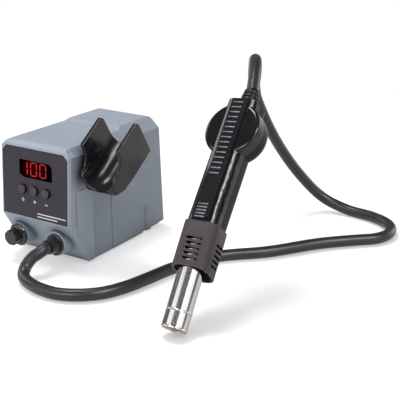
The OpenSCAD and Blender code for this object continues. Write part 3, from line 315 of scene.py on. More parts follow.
def fine_moulding():
    """Moulded texture: a small grain for the height and a broad, faint mottling of colour and gloss."""
    tree, given, result = new_group(
        "fine moulding",
        [("Vector", VECTOR, None), ("Colour", COLOUR, MID_GREY), ("Roughness", NUMBER, 0.5),
         ("Grain Scale", NUMBER, 1500.0), ("Mottle", NUMBER, 0.08)],
        [("Colour", COLOUR), ("Roughness", NUMBER), ("Height", NUMBER)])
    grain = noise(tree, given["Vector"], given["Grain Scale"], 2.0, 0.6)
    cloud = noise(tree, given["Vector"], 38.0, 3.0, 0.55)
    speck = noise(tree, given["Vector"], 420.0, 1.0, 0.5)
    swing = maths(tree, "MULTIPLY", ranged(tree, cloud, 0.3, 0.7, -1.0, 1.0), given["Mottle"])
    shade = maths(tree, "ADD", swing, 1.0)
    grey = put(tree, "ShaderNodeCombineColor", [(0, shade), (1, shade), (2, shade)]).outputs[0]
    gloss = ranged(tree, maths(tree, "ADD", cloud, speck), 0.6, 1.4, -0.05, 0.05)
    feed(tree, result, [("Colour", mixed(tree, 1.0, given["Colour"], grey, "MULTIPLY")),
                        ("Roughness", maths(tree, "ADD", given["Roughness"], gloss)), ("Height", grain)])
    return tree


def scuffed_edges_and_sheen():
    """Scuffed edges, which on the front moulding are painted highlights: paler where a corner sticks out,
    broken up by a noise.
    """
    tree, given, result = new_group(
        "edge wear",
        [("Vector", VECTOR, None), ("Colour", COLOUR, MID_GREY), ("Scuff And Sheen Colour", COLOUR, (0.7, 0.7, 0.7, 1)),
         ("Radius", NUMBER, 0.0008), ("Amount", NUMBER, 0.5)],
        [("Colour", COLOUR), ("Mask", NUMBER)])
    rounded = put(tree, "ShaderNodeBevel", [("Radius", given["Radius"])], samples=4).outputs[0]
    plain = tree.nodes.new("ShaderNodeNewGeometry").outputs["Normal"]
    edge = ranged(tree, vector_maths(tree, "DOT_PRODUCT", rounded, plain), 0.985, 0.86, 0.0, 1.0)
    broken = ranged(tree, noise(tree, given["Vector"], 260.0, 4.0, 0.6), 0.35, 0.65, 0.15, 1.0)
    mask = maths(tree, "MULTIPLY", maths(tree, "MULTIPLY", edge, broken), given["Amount"], clamp=True)
    feed(tree, result, [("Colour", mixed(tree, mask, given["Colour"], given["Scuff And Sheen Colour"])), ("Mask", mask)])
    return tree


def settled_dust():
    """A trace of dust on what faces up."""
    tree, given, result = new_group(
        "settled dust",
        [("Vector", VECTOR, None), ("Colour", COLOUR, MID_GREY), ("Dust Colour", COLOUR, (0.6, 0.58, 0.55, 1)),
         ("Amount", NUMBER, 0.1)],
        [("Colour", COLOUR), ("Mask", NUMBER)])
    upwards = split(tree, tree.nodes.new("ShaderNodeNewGeometry").outputs["Normal"])["Z"]
    flecks = ranged(tree, noise(tree, given["Vector"], 700.0, 3.0, 0.7), 0.45, 0.75, 0.0, 1.0)
    lying = maths(tree, "MULTIPLY", ranged(tree, upwards, 0.4, 1.0, 0.0, 1.0), flecks)
    mask = maths(tree, "MULTIPLY", lying, given["Amount"], clamp=True)
    feed(tree, result, [("Colour", mixed(tree, mask, given["Colour"], given["Dust Colour"])), ("Mask", mask)])
    return tree


moulding, scuffs_and_sheen, dust = fine_moulding(), scuffed_edges_and_sheen(), settled_dust()


# Kinds of finish

def crested(tree, place, colour, crest):
    """Another colour on what stands out past a depth in a frame: the painted highlight on a rib's crest, and a
    button's face, above sides left near-black as painted shade.
    crest is the frame, the depth, the colour, and how even it is, from patchy at 0 to plain at 1."""
    crest_frame, depth, crest_colour, evenness = crest
    inside = split(tree, place_of(tree, crest_frame))
    patchy = ranged(tree, noise(tree, place, 300.0, 2.0, 0.5), 0.3, 0.7, evenness, 1.0)
    across = ranged(tree, inside["X"], -0.006, 0.002, evenness, 1.0)
    high = maths(tree, "MULTIPLY", ranged(tree, inside["Y"], depth, depth - 0.0001, 0, 1),
                 maths(tree, "MULTIPLY", patchy, across))
    return mixed(tree, high, colour, crest_colour)


def waved(tree, place, height, waves):
    """A broad unevenness on the handle's right side, which breaks up the light in its gloss."""
    right_side = ranged(tree, split(tree, place_of(tree, handle_frame))["X"], 0.006, 0.01, 0.1, 1.0)
    broad = maths(tree, "MULTIPLY", noise(tree, place, 95.0, 1.5, 0.45), right_side)
    return maths(tree, "ADD", height, maths(tree, "MULTIPLY", broad, waves))


def moulded(name, colour, roughness, specular=0.5, grain=1500.0, depth=0.00004, mottle=0.07,
            scuff_and_sheen_colour=None, scuff_and_sheen_amount=0.35, scuff_and_sheen_radius=0.0007, dusty=0.06, waves=0.0, crest=None):
    """A moulded, painted or cast surface: grain, mottling, scuffed edges, which on the front moulding are
    painted highlights, and a trace of dust.
    depth is the grain's, in metres. waves and crest are for the functions above."""
    material, tree, shader = new_material(name)
    place = place_of(tree)
    body = use_group(tree, moulding, [("Vector", place), ("Colour", colour), ("Roughness", roughness),
                                      ("Grain Scale", grain), ("Mottle", mottle)]).outputs
    scuff_and_sheen_colour = scuff_and_sheen_colour or tuple(min(1, c * 1.5 + 0.03) for c in colour[:3]) + (1,)
    scuffed_and_sheen = use_group(tree, scuffs_and_sheen, [("Vector", place), ("Colour", body["Colour"]), ("Scuff And Sheen Colour", scuff_and_sheen_colour),
                                    ("Radius", scuff_and_sheen_radius), ("Amount", scuff_and_sheen_amount)]).outputs["Colour"]
    if crest:
        scuffed_and_sheen = crested(tree, place, scuffed_and_sheen, crest)
    dusted = use_group(tree, dust, [("Vector", place), ("Colour", scuffed_and_sheen), ("Amount", dusty)]).outputs
    dulled = maths(tree, "ADD", body["Roughness"], maths(tree, "MULTIPLY", dusted["Mask"], 0.4), clamp=True)
    height = waved(tree, place, body["Height"], waves) if waves else body["Height"]
    bump = put(tree, "ShaderNodeBump", [("Height", height), ("Distance", depth), ("Strength", 0.6)])
    feed(tree, shader, [("Base Color", dusted["Colour"]), ("Roughness", dulled),
                        ("Specular IOR Level", specular), ("Normal", bump.outputs[0])])
    return material


def with_painted_hollow_shade(material, reach, darkest=srgb(8, 7, 8), shut=0.25, wide=0.7):
    """The same finish with painted shade in deep hollows: darkest where the share of open sky is under shut.
    """
    tree = material.node_tree
    colour = tree.nodes["Principled BSDF"].inputs["Base Color"]
    source = colour.links[0].from_socket
    open_sky = put(tree, "ShaderNodeAmbientOcclusion", [("Distance", reach)], samples=8).outputs["AO"]
    tree.links.new(mixed(tree, ranged(tree, open_sky, shut, wide, 0.0, 1.0), darkest, source), colour)
    return material


def drawn_metal(name, colour, roughness, frame_matrix=Matrix.Identity(4), streaks=0.12,
                tint=None, tint_reach=0.01, relief=0.35, uneven=0.05):
    """Polished or brushed metal whose fine lines run round the frame's Z axis, warmer where it gets hot."""
    material, tree, shader = new_material(name)
    place = place_of(tree, frame_matrix)
    stretched = put(tree, "ShaderNodeMapping", [("Vector", place), ("Scale", (30, 30, 1800))]).outputs[0]
    lines = noise(tree, stretched, 1.0, 3.0, 0.65)
    clouds = noise(tree, place, 90.0, 3.0, 0.6)
    darker = tuple(c * 0.72 for c in colour[:3]) + (1,)
    base = mixed(tree, maths(tree, "MULTIPLY", lines, streaks * 2), colour, darker)
    if tint:
        heat = maths(tree, "MULTIPLY", ranged(tree, split(tree, place)["Z"], tint_reach, 0.0, 0.0, 1.0),
                     ranged(tree, clouds, 0.35, 0.65, 0.45, 1.0))
        base = mixed(tree, heat, base, tint)
    gloss = maths(tree, "ADD", ranged(tree, lines, 0.3, 0.7, roughness - uneven, roughness + uneven),
                  ranged(tree, clouds, 0.3, 0.7, -0.6 * uneven, uneven))
    bump = put(tree, "ShaderNodeBump", [("Height", lines), ("Distance", 0.00001), ("Strength", relief)])
    feed(tree, shader, [("Base Color", base), ("Metallic", 1.0), ("Roughness", gloss),
                        ("Normal", bump.outputs[0])])
    return material


# Finishes of the box

# The box's mouldings get painted shade in their hollows, such as the side's groove.
soft_painted_hollow_shade = {"reach": 0.012, "darkest": srgb(70, 76, 88), "shut": 0.2, "wide": 0.9}
cover_plastic = with_painted_hollow_shade(
    moulded("blue-grey cover moulding", srgb(146, 155, 166), 0.52, specular=0.4, grain=1300.0, depth=0.00006,
            mottle=0.03, scuff_and_sheen_colour=srgb(186, 193, 201), scuff_and_sheen_amount=0.45, dusty=0.05), **soft_painted_hollow_shade)
# The front moulding's broad, pale scuffed edges are painted highlights along its edges and chamfers.
bezel_plastic = with_painted_hollow_shade(
    moulded("blue-grey front moulding", srgb(157, 168, 180), 0.48, specular=0.4, grain=1300.0, depth=0.00005,
            mottle=0.03, scuff_and_sheen_colour=srgb(206, 212, 219), scuff_and_sheen_amount=0.75, scuff_and_sheen_radius=0.0018, dusty=0.04),
    **soft_painted_hollow_shade)
tray_plastic = moulded("dark tray moulding", srgb(62, 65, 69), 0.6)
rear_plate = moulded("powder-coated rear plate", srgb(72, 75, 79), 0.5, grain=2600.0, depth=0.00005,
                     mottle=0.05)
foot_rubber = moulded("foot rubber", srgb(38, 38, 39), 0.85, specular=0.2, grain=900.0, depth=0.0001,
                      mottle=0.12, dusty=0.2)
screw_steel = drawn_metal("zinc-plated steel", srgb(206, 206, 212), 0.3)
panel_plate = moulded("satin panel film", srgb(58, 55, 63), 0.5, specular=0.2, grain=2400.0, depth=0.00003,
                      mottle=0.03, scuff_and_sheen_colour=srgb(96, 92, 98), scuff_and_sheen_amount=0.3, dusty=0.03)
# The caps have the panel's colour on their faces; their near-black sides are painted shade.
button_plastic = moulded("satin button moulding", srgb(18, 14, 20), 0.45, specular=0.25, grain=1800.0,
                         depth=0.00003, mottle=0.04, scuff_and_sheen_amount=0.0, dusty=0.01,
                         crest=(panel_frame, -0.0022, srgb(70, 67, 75), 1.0))
knob_plastic = moulded("black knob moulding", srgb(28, 24, 23), 0.12, grain=1600.0, depth=0.00001,
                       mottle=0.06, scuff_and_sheen_colour=srgb(70, 66, 64), scuff_and_sheen_amount=0.2, dusty=0.02)
gland_plastic = moulded("black gland moulding", srgb(24, 22, 25), 0.3, specular=0.4, mottle=0.06,
                        scuff_and_sheen_colour=srgb(78, 75, 76), scuff_and_sheen_amount=0.5)
inlet_plastic = moulded("black inlet moulding", srgb(34, 34, 36), 0.34, depth=0.00003, mottle=0.06)
cradle_plastic = moulded("black cradle moulding", srgb(32, 28, 32), 0.2, specular=0.36, grain=1100.0,
                         depth=0.00003, mottle=0.06, scuff_and_sheen_colour=srgb(92, 88, 94), scuff_and_sheen_amount=0.4, dusty=0.01)
print_white = moulded("white panel print", srgb(222, 224, 230), 0.5, specular=0.3, grain=2600.0,
                      depth=0.00002, mottle=0.1, scuff_and_sheen_amount=0.0, dusty=0.0)

# Finishes of what is inside the box

inner_black = moulded("plain black moulding", srgb(22, 21, 22), 0.6, specular=0.3, dusty=0.0)
board_laminate = moulded("green solder mask", srgb(30, 110, 62), 0.35, grain=500.0, depth=0.00003,
                         mottle=0.15)
part_cases = moulded("blue part sleeves", srgb(44, 62, 110), 0.4, grain=600.0, depth=0.00002, mottle=0.1)
pot_metal = drawn_metal("pressed control can", srgb(190, 190, 194), 0.38)
sink_aluminium = drawn_metal("extruded aluminium", srgb(214, 216, 220), 0.36)
transformer_steel = moulded("varnished laminations", srgb(96, 90, 88), 0.42, grain=350.0, depth=0.00008,
                            mottle=0.15)

# Finishes of the gun and the hose

handle_plastic = moulded("polished handle moulding", srgb(20, 18, 22), 0.16, specular=0.33, grain=1400.0,
                         depth=0.00002, mottle=0.05, scuff_and_sheen_colour=srgb(70, 68, 74), dusty=0.01, waves=70.0)
rear_shell_plastic = moulded("satin rear shell moulding", srgb(26, 24, 28), 0.3, specular=0.1, grain=1400.0,
                             depth=0.00003, mottle=0.05, scuff_and_sheen_colour=srgb(110, 108, 112), dusty=0.02)
# The pale crests on the strip's ribs are painted highlights.
strip_plastic = moulded("grip strip moulding", srgb(20, 18, 22), 0.24, specular=0.35, grain=1400.0,
                        depth=0.00003, mottle=0.05, scuff_and_sheen_colour=srgb(90, 88, 94), scuff_and_sheen_amount=0.3,
                        scuff_and_sheen_radius=0.0004, dusty=0.01,
                        crest=(handle_frame, -0.0165, srgb(150, 147, 156), 0.55))
fan_plastic = moulded("fan wheel moulding", srgb(70, 72, 78), 0.5, specular=0.4)
# The collar is darkened in its slots and its inside: painted shade.
collar_plastic = with_painted_hollow_shade(
    moulded("heat-resistant collar moulding", srgb(66, 59, 64), 0.55, specular=0.25, grain=1000.0,
            mottle=0.05, scuff_and_sheen_colour=srgb(112, 106, 110), scuff_and_sheen_amount=0.5, dusty=0.03), reach=0.02)
nozzle_steel = drawn_metal("polished nozzle steel", srgb(184, 181, 180), 0.15, gun_frame, streaks=0.08,
                           tint=srgb(188, 177, 174), relief=0.01, uneven=0.015)
heater_ceramic = moulded("unglazed ceramic", srgb(234, 228, 214), 0.8, specular=0.3, grain=900.0,
                         depth=0.00005, mottle=0.04)
heater_wire = drawn_metal("oxidised resistance wire", srgb(150, 140, 130), 0.5, gun_frame)
mica = moulded("laminated mica", srgb(200, 184, 150), 0.45, grain=250.0, mottle=0.2)
boot_rubber = moulded("boot rubber", srgb(20, 19, 22), 0.42, specular=0.25, grain=900.0, mottle=0.08,
                      dusty=0.03)
hose_rubber = moulded("hose rubber", srgb(37, 34, 37), 0.36, specular=0.42, grain=800.0, depth=0.00003,
                      mottle=0.08, scuff_and_sheen_amount=0.0, dusty=0.01)


# The display: a dark window, the lit digits, and the module behind them

def tinted_window():
    material, tree, shader = new_material("tinted display window")
    smear = noise(tree, place_of(tree), 60.0, 3.0, 0.5)
    feed(tree, shader, [("Base Color", mixed(tree, smear, srgb(4, 1, 2), srgb(9, 3, 4))),
                        ("Roughness", ranged(tree, smear, 0.3, 0.7, 0.1, 0.2)),
                        ("Specular IOR Level", 0.0), ("Alpha", 0.8)])
    return material


def lit_segments():
    material, tree, shader = new_material("lit red segments")
    spots = noise(tree, place_of(tree), 900.0, 2.0, 0.5)
    glow = mixed(tree, spots, (1.0, 0.07, 0.09, 1), (1.0, 0.1, 0.12, 1))
    feed(tree, shader, [("Base Color", glow), ("Emission Color", glow), ("Emission Strength", 12.0)])
    return material


def glowing_module():
    """Black, with the faint red that the digits throw round themselves, wider than high."""
    material, tree, shader = new_material("black display module")
    digits_frame = panel_frame @ Matrix.Translation((-0.0025, 0, 0.0494))
    away = vector_maths(tree, "MULTIPLY", place_of(tree, digits_frame), (1, 0, 1.5))
    away = vector_maths(tree, "LENGTH", away)
    halo = maths(tree, "MULTIPLY", ranged(tree, away, 0.0105, 0.0165, 1.0, 0.0),
                 ranged(tree, noise(tree, place_of(tree), 150.0), 0.3, 0.7, 0.9, 1.0))
    feed(tree, shader, [("Base Color", mixed(tree, halo, srgb(3, 2, 3), srgb(16, 2, 4))),
                        ("Emission Color", mixed(tree, halo, (0, 0, 0, 1), (0.9, 0.001, 0.004, 1))),
                        ("Emission Strength", 1.0), ("Roughness", 0.7), ("Specular IOR Level", 0.0)])
    return material


display_filter, display_light, display_glow = tinted_window(), lit_segments(), glowing_module()


# The hose: along the bench, up behind the handle and over into its boot

hose_route = [
    (23.7, -88.5, 25.5), (23.5, -94, 25), (22, -99, 23), (18.5, -105, 19.5), (16.5, -112, 13),
    (20, -119.5, 8), (28, -125, 6.5), (39, -129.5, 6.4), (53, -132.5, 6.4), (72, -132, 6.4),
    (91, -123, 6.4), (106, -108, 6.4), (116, -86, 6.4), (122, -60, 6.4), (128, -30, 6.4),
    (139, -3, 6.4), (153, 23, 6.4), (187, 57, 6.4), (219, 102, 6.4), (247, 131, 6.4),
    (263, 146, 6.4), (270, 162, 6.4), (268, 180, 6.4), (257, 195, 6.4), (235, 206, 6.4),
    (204, 211, 6.8), (175, 206, 18), (155, 190, 44), (141, 172, 74), (134, 151, 105),
    (130, 130, 139), (131.5, 121, 154), (135, 112, 170), (141.5, 101, 185), (149, 88, 190.5),
    (157, 75, 194), (165, 61, 193.5), (172, 48, 189.5), (177.5, 36, 183)]
hose_end = handle_frame @ Vector((0, 0.001, 0.1376))
hose_points = [Vector(p) / 1000 for p in hose_route] + [hose_end]
hose_radius = 0.0059


def smooth_curve(name, points, radius):
    """A round cord on one smooth line through the points, with a closed end at each side."""
    curve = bpy.data.curves.new(name, "CURVE")
    curve.dimensions = "3D"
    knots = curve.splines.new("BEZIER").bezier_points
    knots.add(len(points) - 1)
    for i, (knot, point) in enumerate(zip(knots, points)):
        knot.handle_left_type = knot.handle_right_type = "FREE"
        way = (points[min(i + 1, len(points) - 1)] - points[max(i - 1, 0)]) / 6
        knot.co, knot.handle_left, knot.handle_right = point, point - way, point + way
    curve.resolution_u = 8
    curve.bevel_depth = radius
    curve.bevel_resolution = 6
    curve.use_fill_caps = True
    return curve


hose_curve = smooth_curve("hose", hose_points, hose_radius)
hose = bpy.data.objects.new("hose_sheath", hose_curve)
bpy.context.scene.collection.objects.link(hose)
select_only(hose)
bpy.ops.object.convert(target="MESH")
smooth(hose, 60)
hose.data.materials.clear()
hose.data.materials.append(hose_rubber)
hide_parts("hose")
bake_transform(hose)


# The box

def scoop_groove(cover):
    """Slopes the walls of the side's upright groove, so that it reads as one soft hollow."""
    floor_x, close = 0.0421, 0.0001
    for axis, level, move in ((1, 0.038, (0, 0.0031, 0)), (1, 0.048, (0, -0.0031, 0)),
                              (2, 0.033, (0, 0, -0.003))):
        shift_points(cover, lambda p: abs(p.x - floor_x) < close and abs(p[axis] - level) < 2 * close, move)


def round_front(bezel):
    """Rounds the front face's outline broadly, where it turns to the sides, the top and the bottom."""
    middle_z, rim_x, rim_top, rim_foot = 0.06, 0.04, 0.108, 0.006
    beside = {}
    for face in bezel.data.polygons:
        for key in face.edge_keys:
            beside.setdefault(key, []).append(face)
    chosen = set()
    for key, faces in beside.items():
        for front, side in (faces, faces[::-1]) if len(faces) == 2 else ():
            outwards = Vector((side.center.x, 0, side.center.z - middle_z)).normalized()
            rim = abs(side.center.x) > rim_x or side.center.z > rim_top or side.center.z < rim_foot
            turns_away = side.normal.y > -0.5 and side.normal.dot(outwards) > 0.5
            if front.normal.y < -0.95 and turns_away and rim:
                chosen.add(key)
    pick(bezel, "edges", lambda edge: edge.key in chosen)
    bpy.ops.mesh.bevel(offset=0.0013, segments=4, affect="EDGES")
    set_mode("OBJECT")


def add_cradle_rail():
    """A low rail on the side below the cradle, trimmed in front to the bezel's slope."""
    rail = begin(bpy.ops.mesh.primitive_cube_add, "cradle_rail", size=1, location=(0.04345, -0.0545, 0.041))
    rail.scale = (0.0025, 0.0235, 0.0765)
    settle(rail)
    cut(rail, (0, -0.0628, 0.022), (0, -0.89, -0.455))
    modify(rail, "BEVEL", width=0.0009, segments=4)
    smooth_by_faces(rail, 32)
    finish_piece(rail, "station", bezel_plastic)


def turn_in_lip(cradle):
    """Takes the outer corners of both cheeks in towards the lip."""
    for side in (1, -1):
        cut(cradle, cradle_frame @ Vector((side * 0.023, 0.022, 0)),
            cradle_frame.to_3x3() @ Vector((side * 0.978, -0.207, 0)))


def sink_cap(cap):
    """Sets a button's face further in than the CAD has it."""
    face_y, sunk = -0.0035, 0.0024
    to_panel = panel_frame.inverted()
    inwards = panel_frame.to_3x3() @ Vector((0, 1, 0))
    shift_points(cap, lambda p: (to_panel @ p).y < face_y, sunk * inwards)


def thin_strokes(digits):
    """Draws the digits in on all sides, for thinner strokes."""
    pick_all(digits)
    bpy.ops.transform.shrink_fatten(value=-0.0003)
    set_mode("OBJECT")


softened("housing_cover", "cover_moulding", "station", cover_plastic, 0.0006, 3,
         shape=scoop_groove)
softened("front_bezel", "front_moulding", "station", bezel_plastic, 0.0005, 3,
         shape=round_front)
add_cradle_rail()
softened("base_tray", "tray_moulding", "station", tray_plastic, 0.0003)
softened("rear_panel", "rear_plate", "station", rear_plate, 0.0002)
softened("mains_inlet", "inlet_moulding", "station", inlet_plastic, 0.0004)
softened("rocker_frame", "switch_frame", "station", inlet_plastic, 0.0003)
softened("power_rocker", "switch_rocker", "rocker", inlet_plastic, 0.0004)
softened("front_panel", "panel_film", "station", panel_plate, 0.00015)
softened("flow_knob", "knob_moulding", "knob", knob_plastic, 0.0003)
softened("hose_gland", "gland_moulding", "station", gland_plastic, 0.0004)
softened("cradle", "cradle_moulding", "station", cradle_plastic, 0.0011, 3,
         shape=turn_in_lip, clamp=False)
softened("cradle_bracket", "bracket_moulding", "station", cradle_plastic, 0.0004)
for button in ("power", "up", "down"):
    softened("button_" + button, "cap_" + button, "btn_" + button, button_plastic, 0.0002,
             shape=sink_cap)
softened("display_digits", "lit_digits", "station", display_light, shape=thin_strokes)


# The gun

def slope_strip(strip):
    """Slopes the strip's left edge from the ribs down to the handle, less so in its lower part."""
    across = handle_frame.to_3x3() @ Vector((1, 0, 0))
    along = handle_frame.to_3x3() @ Vector((0, 0, 1))
    to_handle = handle_frame.inverted()
    for level in (0.042, 0.062):
        cut(strip, handle_frame @ Vector((0, 0, level)), along, trim=False)
    edge_x, sloped_x, step, front_y, bend_z = -0.00925, -0.006, 0.0005, -0.0158, 0.05
    for i in range(6):
        left = edge_x + i * step
        for low, high, share in ((-1, bend_z, 0.2), (bend_z, 1, 1.0)):
            def on_edge(p):
                inside = to_handle @ p
                return left < inside.x <= left + step and inside.y < front_y and low < inside.z < high
            if any(on_edge(point.co) for point in strip.data.vertices):
                shift_points(strip, on_edge, across * (sloped_x - left - step / 2) * share)


def add_guard():
    """Bars across the outlet, each as long as the end ring is wide where the bar lies."""
    bars, pitch, reach = 7, 0.003, 0.0103
    bar = begin(bpy.ops.mesh.primitive_cube_add, "guard_bar", size=1, location=(0, 0, 0.00065))
    bar.scale = (0.0013, 2 * reach, 0.0009)
    settle(bar)
    modify(bar, "BEVEL", width=0.0002, segments=2)
    for i in range(bars):
        across = (i - bars // 2) * pitch
        piece = copied("guard_bar_%d" % (i + 1), bar.data)
        piece.matrix_world = (gun_frame @ Matrix.Translation((across, 0, 0))
                              @ Matrix.Diagonal((1, math.sqrt(1 - (across / reach) ** 2), 1, 1)))
        settle(piece)
        finish_piece(piece, "gun", nozzle_steel)
    bpy.data.objects.remove(bar)


softened("handle_front", "front_shell", "gun", handle_plastic, 0.0005)
fan_face = turned("fan_house_face", [
    (26.6, 9.5), (26.6, 11.0), (26.45, 11.7), (26.1, 12.3), (25.5, 12.85), (24.8, 13.25), (23.9, 13.55),
    (22.9, 13.7), (5.0, 13.7), (5.0, 9.5)], fan_axis)
finish_piece(fan_face, "gun", handle_plastic)
softened("handle_rear", "rear_shell", "gun", rear_shell_plastic, 0.0005)
softened("grip_strip", "ribbed_strip", "gun", strip_plastic, 0.0002, shape=slope_strip)
softened("fan_cover", "intake_cover", "gun", rear_shell_plastic, 0.00025)
softened("heat_collar", "slotted_collar", "gun", collar_plastic, 0.0004)
softened("nozzle_tube", "steel_tube", "gun", nozzle_steel)
end_ring = turned("steel_end_ring", [
    (10.3, 0.3), (10.7, 0.05), (11.3, 0), (11.65, 0.2), (11.75, 0.6), (11.7, 1.0), (11.5, 1.3), (11.42, 1.6),
    (11.42, 14.5), (11.1, 14.7), (11.0, 15.4), (9.95, 15.4), (9.95, 1.6)], gun_frame)
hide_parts("nozzle_tip")
finish_piece(end_ring, "gun", nozzle_steel)
tube_bead = turned("steel_tube_bead", [
    (11.0, 15.2), (11.5, 15.25), (11.7, 15.5), (11.75, 15.8), (11.7, 16.1), (11.5, 16.3), (11.0, 16.4)],
    gun_frame)
finish_piece(tube_bead, "gun", nozzle_steel)
add_guard()
softened("cable_boot", "boot_moulding", "gun", boot_rubber, 0.0004)


# The panel's marks: generic symbols and two plain bars, printed on the film

film_face_y, print_lift, print_thickness = 0.0002, 0.00003, 0.00004


def printed(outline, x, z):
    """Gives a flat outline the thickness of print and lays it on the panel, x and z in millimetres."""
    modify(outline, "SOLIDIFY", thickness=print_thickness, offset=1.0)
    on_face = Matrix.Translation((x / 1000, film_face_y - print_lift, z / 1000))
    outline.matrix_world = panel_frame @ on_face @ rotation(90, "X")
    settle(outline)
    finish_piece(outline, "station", print_white)


def print_bar(name, x, z, width, height):
    """A bar with rounded corners."""
    corner = min(width, height) / 2.4 / 1000
    bar = begin(bpy.ops.mesh.primitive_plane_add, name, size=1)
    bar.scale = (width / 1000, height / 1000, 1)
    settle(bar)
    modify(bar, "BEVEL", affect="VERTICES", width=corner, segments=3, limit_method="NONE")
    printed(bar, x, z)


def print_open_ring(name, x, z, width, stroke):
    """A ring with a gap at its top."""
    half_gap = width / 5.2 / 1000
    ring = begin(bpy.ops.mesh.primitive_circle_add, name, vertices=32, radius=width / 2000, fill_type="NGON")
    pick(ring, "polygons", lambda face: True)
    bpy.ops.mesh.inset(thickness=stroke / 1000)
    bpy.ops.mesh.delete(type="FACE")
    set_mode("OBJECT")
    pick(ring, "polygons", lambda face: face.center.y > 0 and abs(face.center.x) < half_gap)
    bpy.ops.mesh.delete(type="FACE")
    set_mode("OBJECT")
    printed(ring, x, z)


print_open_ring("power_ring_print", -15.3, 17.8, 3.2, 0.7)
print_bar("power_line_print", -15.3, 19.0, 0.8, 2.0)
print_bar("plus_level_print", -0.2, 17.7, 3.2, 1.1)
print_bar("plus_upright_print", -0.2, 17.7, 1.1, 3.2)
print_bar("minus_print", 14.6, 17.0, 3.6, 1.0)
print_bar("long_bar_print", 20.8, 6.6, 35.6, 1.2)
print_bar("short_bar_print", 15.6, 3.6, 25.4, 1.1)


# Every other CAD node keeps its shape and gets its own finish

kept_nodes = {
    "feet": foot_rubber, "base_screws": screw_steel, "rear_screws": screw_steel,
    "display_window": display_filter, "display_module": display_glow,
    "front_board": board_laminate, "tact_switches": inner_black, "flow_pot": pot_metal,
    "gland_nut": gland_plastic, "main_board": board_laminate, "board_parts": part_cases,
    "heat_sink": sink_aluminium, "transformer": transformer_steel, "cradle_screws": screw_steel,
    "cradle_magnet": screw_steel, "handle_screws": screw_steel, "fan_motor": screw_steel,
    "fan_impeller": fan_plastic, "reed_board": board_laminate, "heater_core": heater_ceramic,
    "heater_coil": heater_wire, "mica_liner": mica}
for node, material in kept_nodes.items():
    nodes[node].data.materials.clear()
    nodes[node].data.materials.append(material)


# The floor: white where the camera sees it, with the object's shadow, painted deeper by the nozzle and painted
# out beside the box

def seen_directly(tree):
    """The kinds of ray, and 1 for those that show the background: the camera's, and those through glass."""
    rays = tree.nodes.new("ShaderNodeLightPath").outputs
    return rays, maths(tree, "MAXIMUM", rays["Is Camera Ray"], rays["Is Transmission Ray"])


def near_spot(tree, spot, inner, outer):
    """1 within the inner distance of a spot on the floor, falling to 0 at the outer one."""
    return ranged(tree, vector_maths(tree, "DISTANCE", place_of(tree), spot), inner, outer, 1, 0)


def pale_floor():
    """Its own glow keeps shadows light. By the nozzle it is paler and glows less, a painted shadow; beside the
    box it glows more, painted light that hides the box's shadow.
    """
    material, tree, shader = new_material("pale floor")
    # By the nozzle the floor is paler and glows less, which paints its shadow deeper; beside the box it glows
    # more, painted light that takes the box's shadow out.
    near_nozzle = near_spot(tree, (0.235, -0.115, 0), 0.03, 0.1)
    beside_box = near_spot(tree, (0.1, 0.03, 0), 0.03, 0.12)
    grey = mixed(tree, near_nozzle, (0.7, 0.7, 0.7, 1), (0.92, 0.92, 0.92, 1))
    feed(tree, shader, [("Base Color", grey), ("Roughness", 0.9), ("Specular IOR Level", 0.0)])
    rays, seen = seen_directly(tree)
    seen = maths(tree, "MAXIMUM", seen, rays["Is Glossy Ray"])
    lifted = maths(tree, "ADD", maths(tree, "MULTIPLY", near_nozzle, -0.22),
                   maths(tree, "MULTIPLY", beside_box, 0.2))
    lifted = maths(tree, "MULTIPLY", seen, maths(tree, "ADD", lifted, 0.4))
    glow = put(tree, "ShaderNodeEmission", [("Color", WHITE), ("Strength", lifted)])
    shadowed = put(tree, "ShaderNodeAddShader", [(0, shader.outputs[0]), (1, glow.outputs[0])])
    open_floor = put(tree, "ShaderNodeEmission",
                     [("Color", WHITE), ("Strength", ranged(tree, seen, 0, 1, 0.7, 1))])
    far = ranged(tree, vector_maths(tree, "DISTANCE", place_of(tree), (0.12, 0.03, 0)), 0.28, 0.7, 0, 1)
    whole = put(tree, "ShaderNodeMixShader", [(0, far), (1, shadowed.outputs[0]), (2, open_floor.outputs[0])])
    tree.links.new(whole.outputs[0], tree.nodes["Material Output"].inputs["Surface"])
    return material


floor = begin(bpy.ops.mesh.primitive_plane_add, "floor", size=8, location=(0, 0, -0.0001))
settle(floor)
floor.data.materials.append(pale_floor())


# The studio: what the gloss sees, the soft light from all round, and two lamps

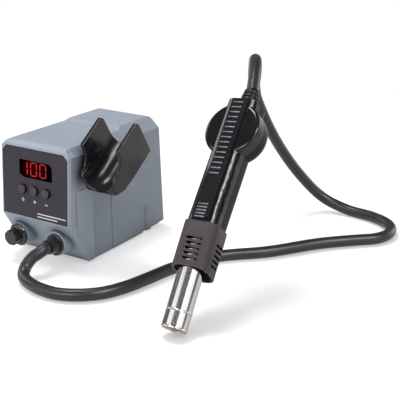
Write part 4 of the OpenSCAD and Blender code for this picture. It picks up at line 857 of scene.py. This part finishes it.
studio_dark = 0.2
studio_panels = {
    # left and right edge in degrees from the front, low and high edge as sines, brightness
    "left of the camera": (-62, -42, -0.1, 0.66, 2.1),
    "left, next to it": (-42, -14, -0.1, 0.75, 2.1),
    "right of the camera": (53, 98, -0.1, 0.73, 2.1),
    "far left, low": (-110, -88, 0.22, 0.46, 3.8),
    "far left, above that": (-98, -80, 0.42, 0.56, 3.0),
    "high in front": (-14, 26, 0.36, 0.66, 9.0),
    "high at the right": (60, 97, 0.67, 0.86, 16.0),
    "low, behind the right": (128, 172, -0.02, 0.45, 3.0)}


def studio_world():
    """White panels that only the gloss sees, with dark between them. All else gets a plain soft light."""
    world = bpy.data.worlds.new("studio")
    world.use_nodes = True
    tree = world.node_tree
    rays, seen = seen_directly(tree)
    direction = tree.nodes.new("ShaderNodeTexCoord").outputs["Generated"]
    way = split(tree, direction)
    heading = maths(tree, "ARCTAN2", way["X"], maths(tree, "MULTIPLY", way["Y"], -1))
    degrees = maths(tree, "MULTIPLY", heading, 180 / math.pi)
    gloss_light = studio_dark
    for left, right, low, high, brightness in studio_panels.values():
        panel = maths(tree, "MULTIPLY", between(tree, degrees, left, right, 3),
                      between(tree, way["Z"], low, high, 0.03))
        gloss_light = maths(tree, "ADD", gloss_light,
                            maths(tree, "MULTIPLY", panel, brightness - studio_dark))
    towards = maths(tree, "MAXIMUM", vector_maths(tree, "DOT_PRODUCT", direction, (-0.74, -0.62, 0.26)), 0)
    soft_light = maths(tree, "ADD", 0.42, towards)
    light = put(tree, "ShaderNodeMix", [(0, rays["Is Glossy Ray"]), (2, soft_light), (3, gloss_light)])
    strength = put(tree, "ShaderNodeMix", [(0, seen), (2, light.outputs[0]), (3, 1.0)])
    feed(tree, tree.nodes["Background"], [("Color", WHITE), ("Strength", strength.outputs[0])])
    return world


def softbox(name, place, aim, size, power):
    bpy.ops.object.light_add(type="AREA", location=place)
    lamp = bpy.context.object
    lamp.name = name
    lamp.data.size = size
    lamp.data.energy = power
    lamp.rotation_mode = "QUATERNION"
    lamp.rotation_quaternion = (Vector(aim) - Vector(place)).to_track_quat("-Z", "Y")


bpy.context.scene.world = studio_world()
softbox("key_light", (-0.37, 0.05, 1.75), (0.1, 0.0, 0.05), size=0.5, power=14.5)
softbox("side_light", (0.885, -0.26, 0.95), (0.19, -0.06, 0.1), size=0.17, power=1.2)

bpy.context.scene.view_settings.view_transform = "Standard"
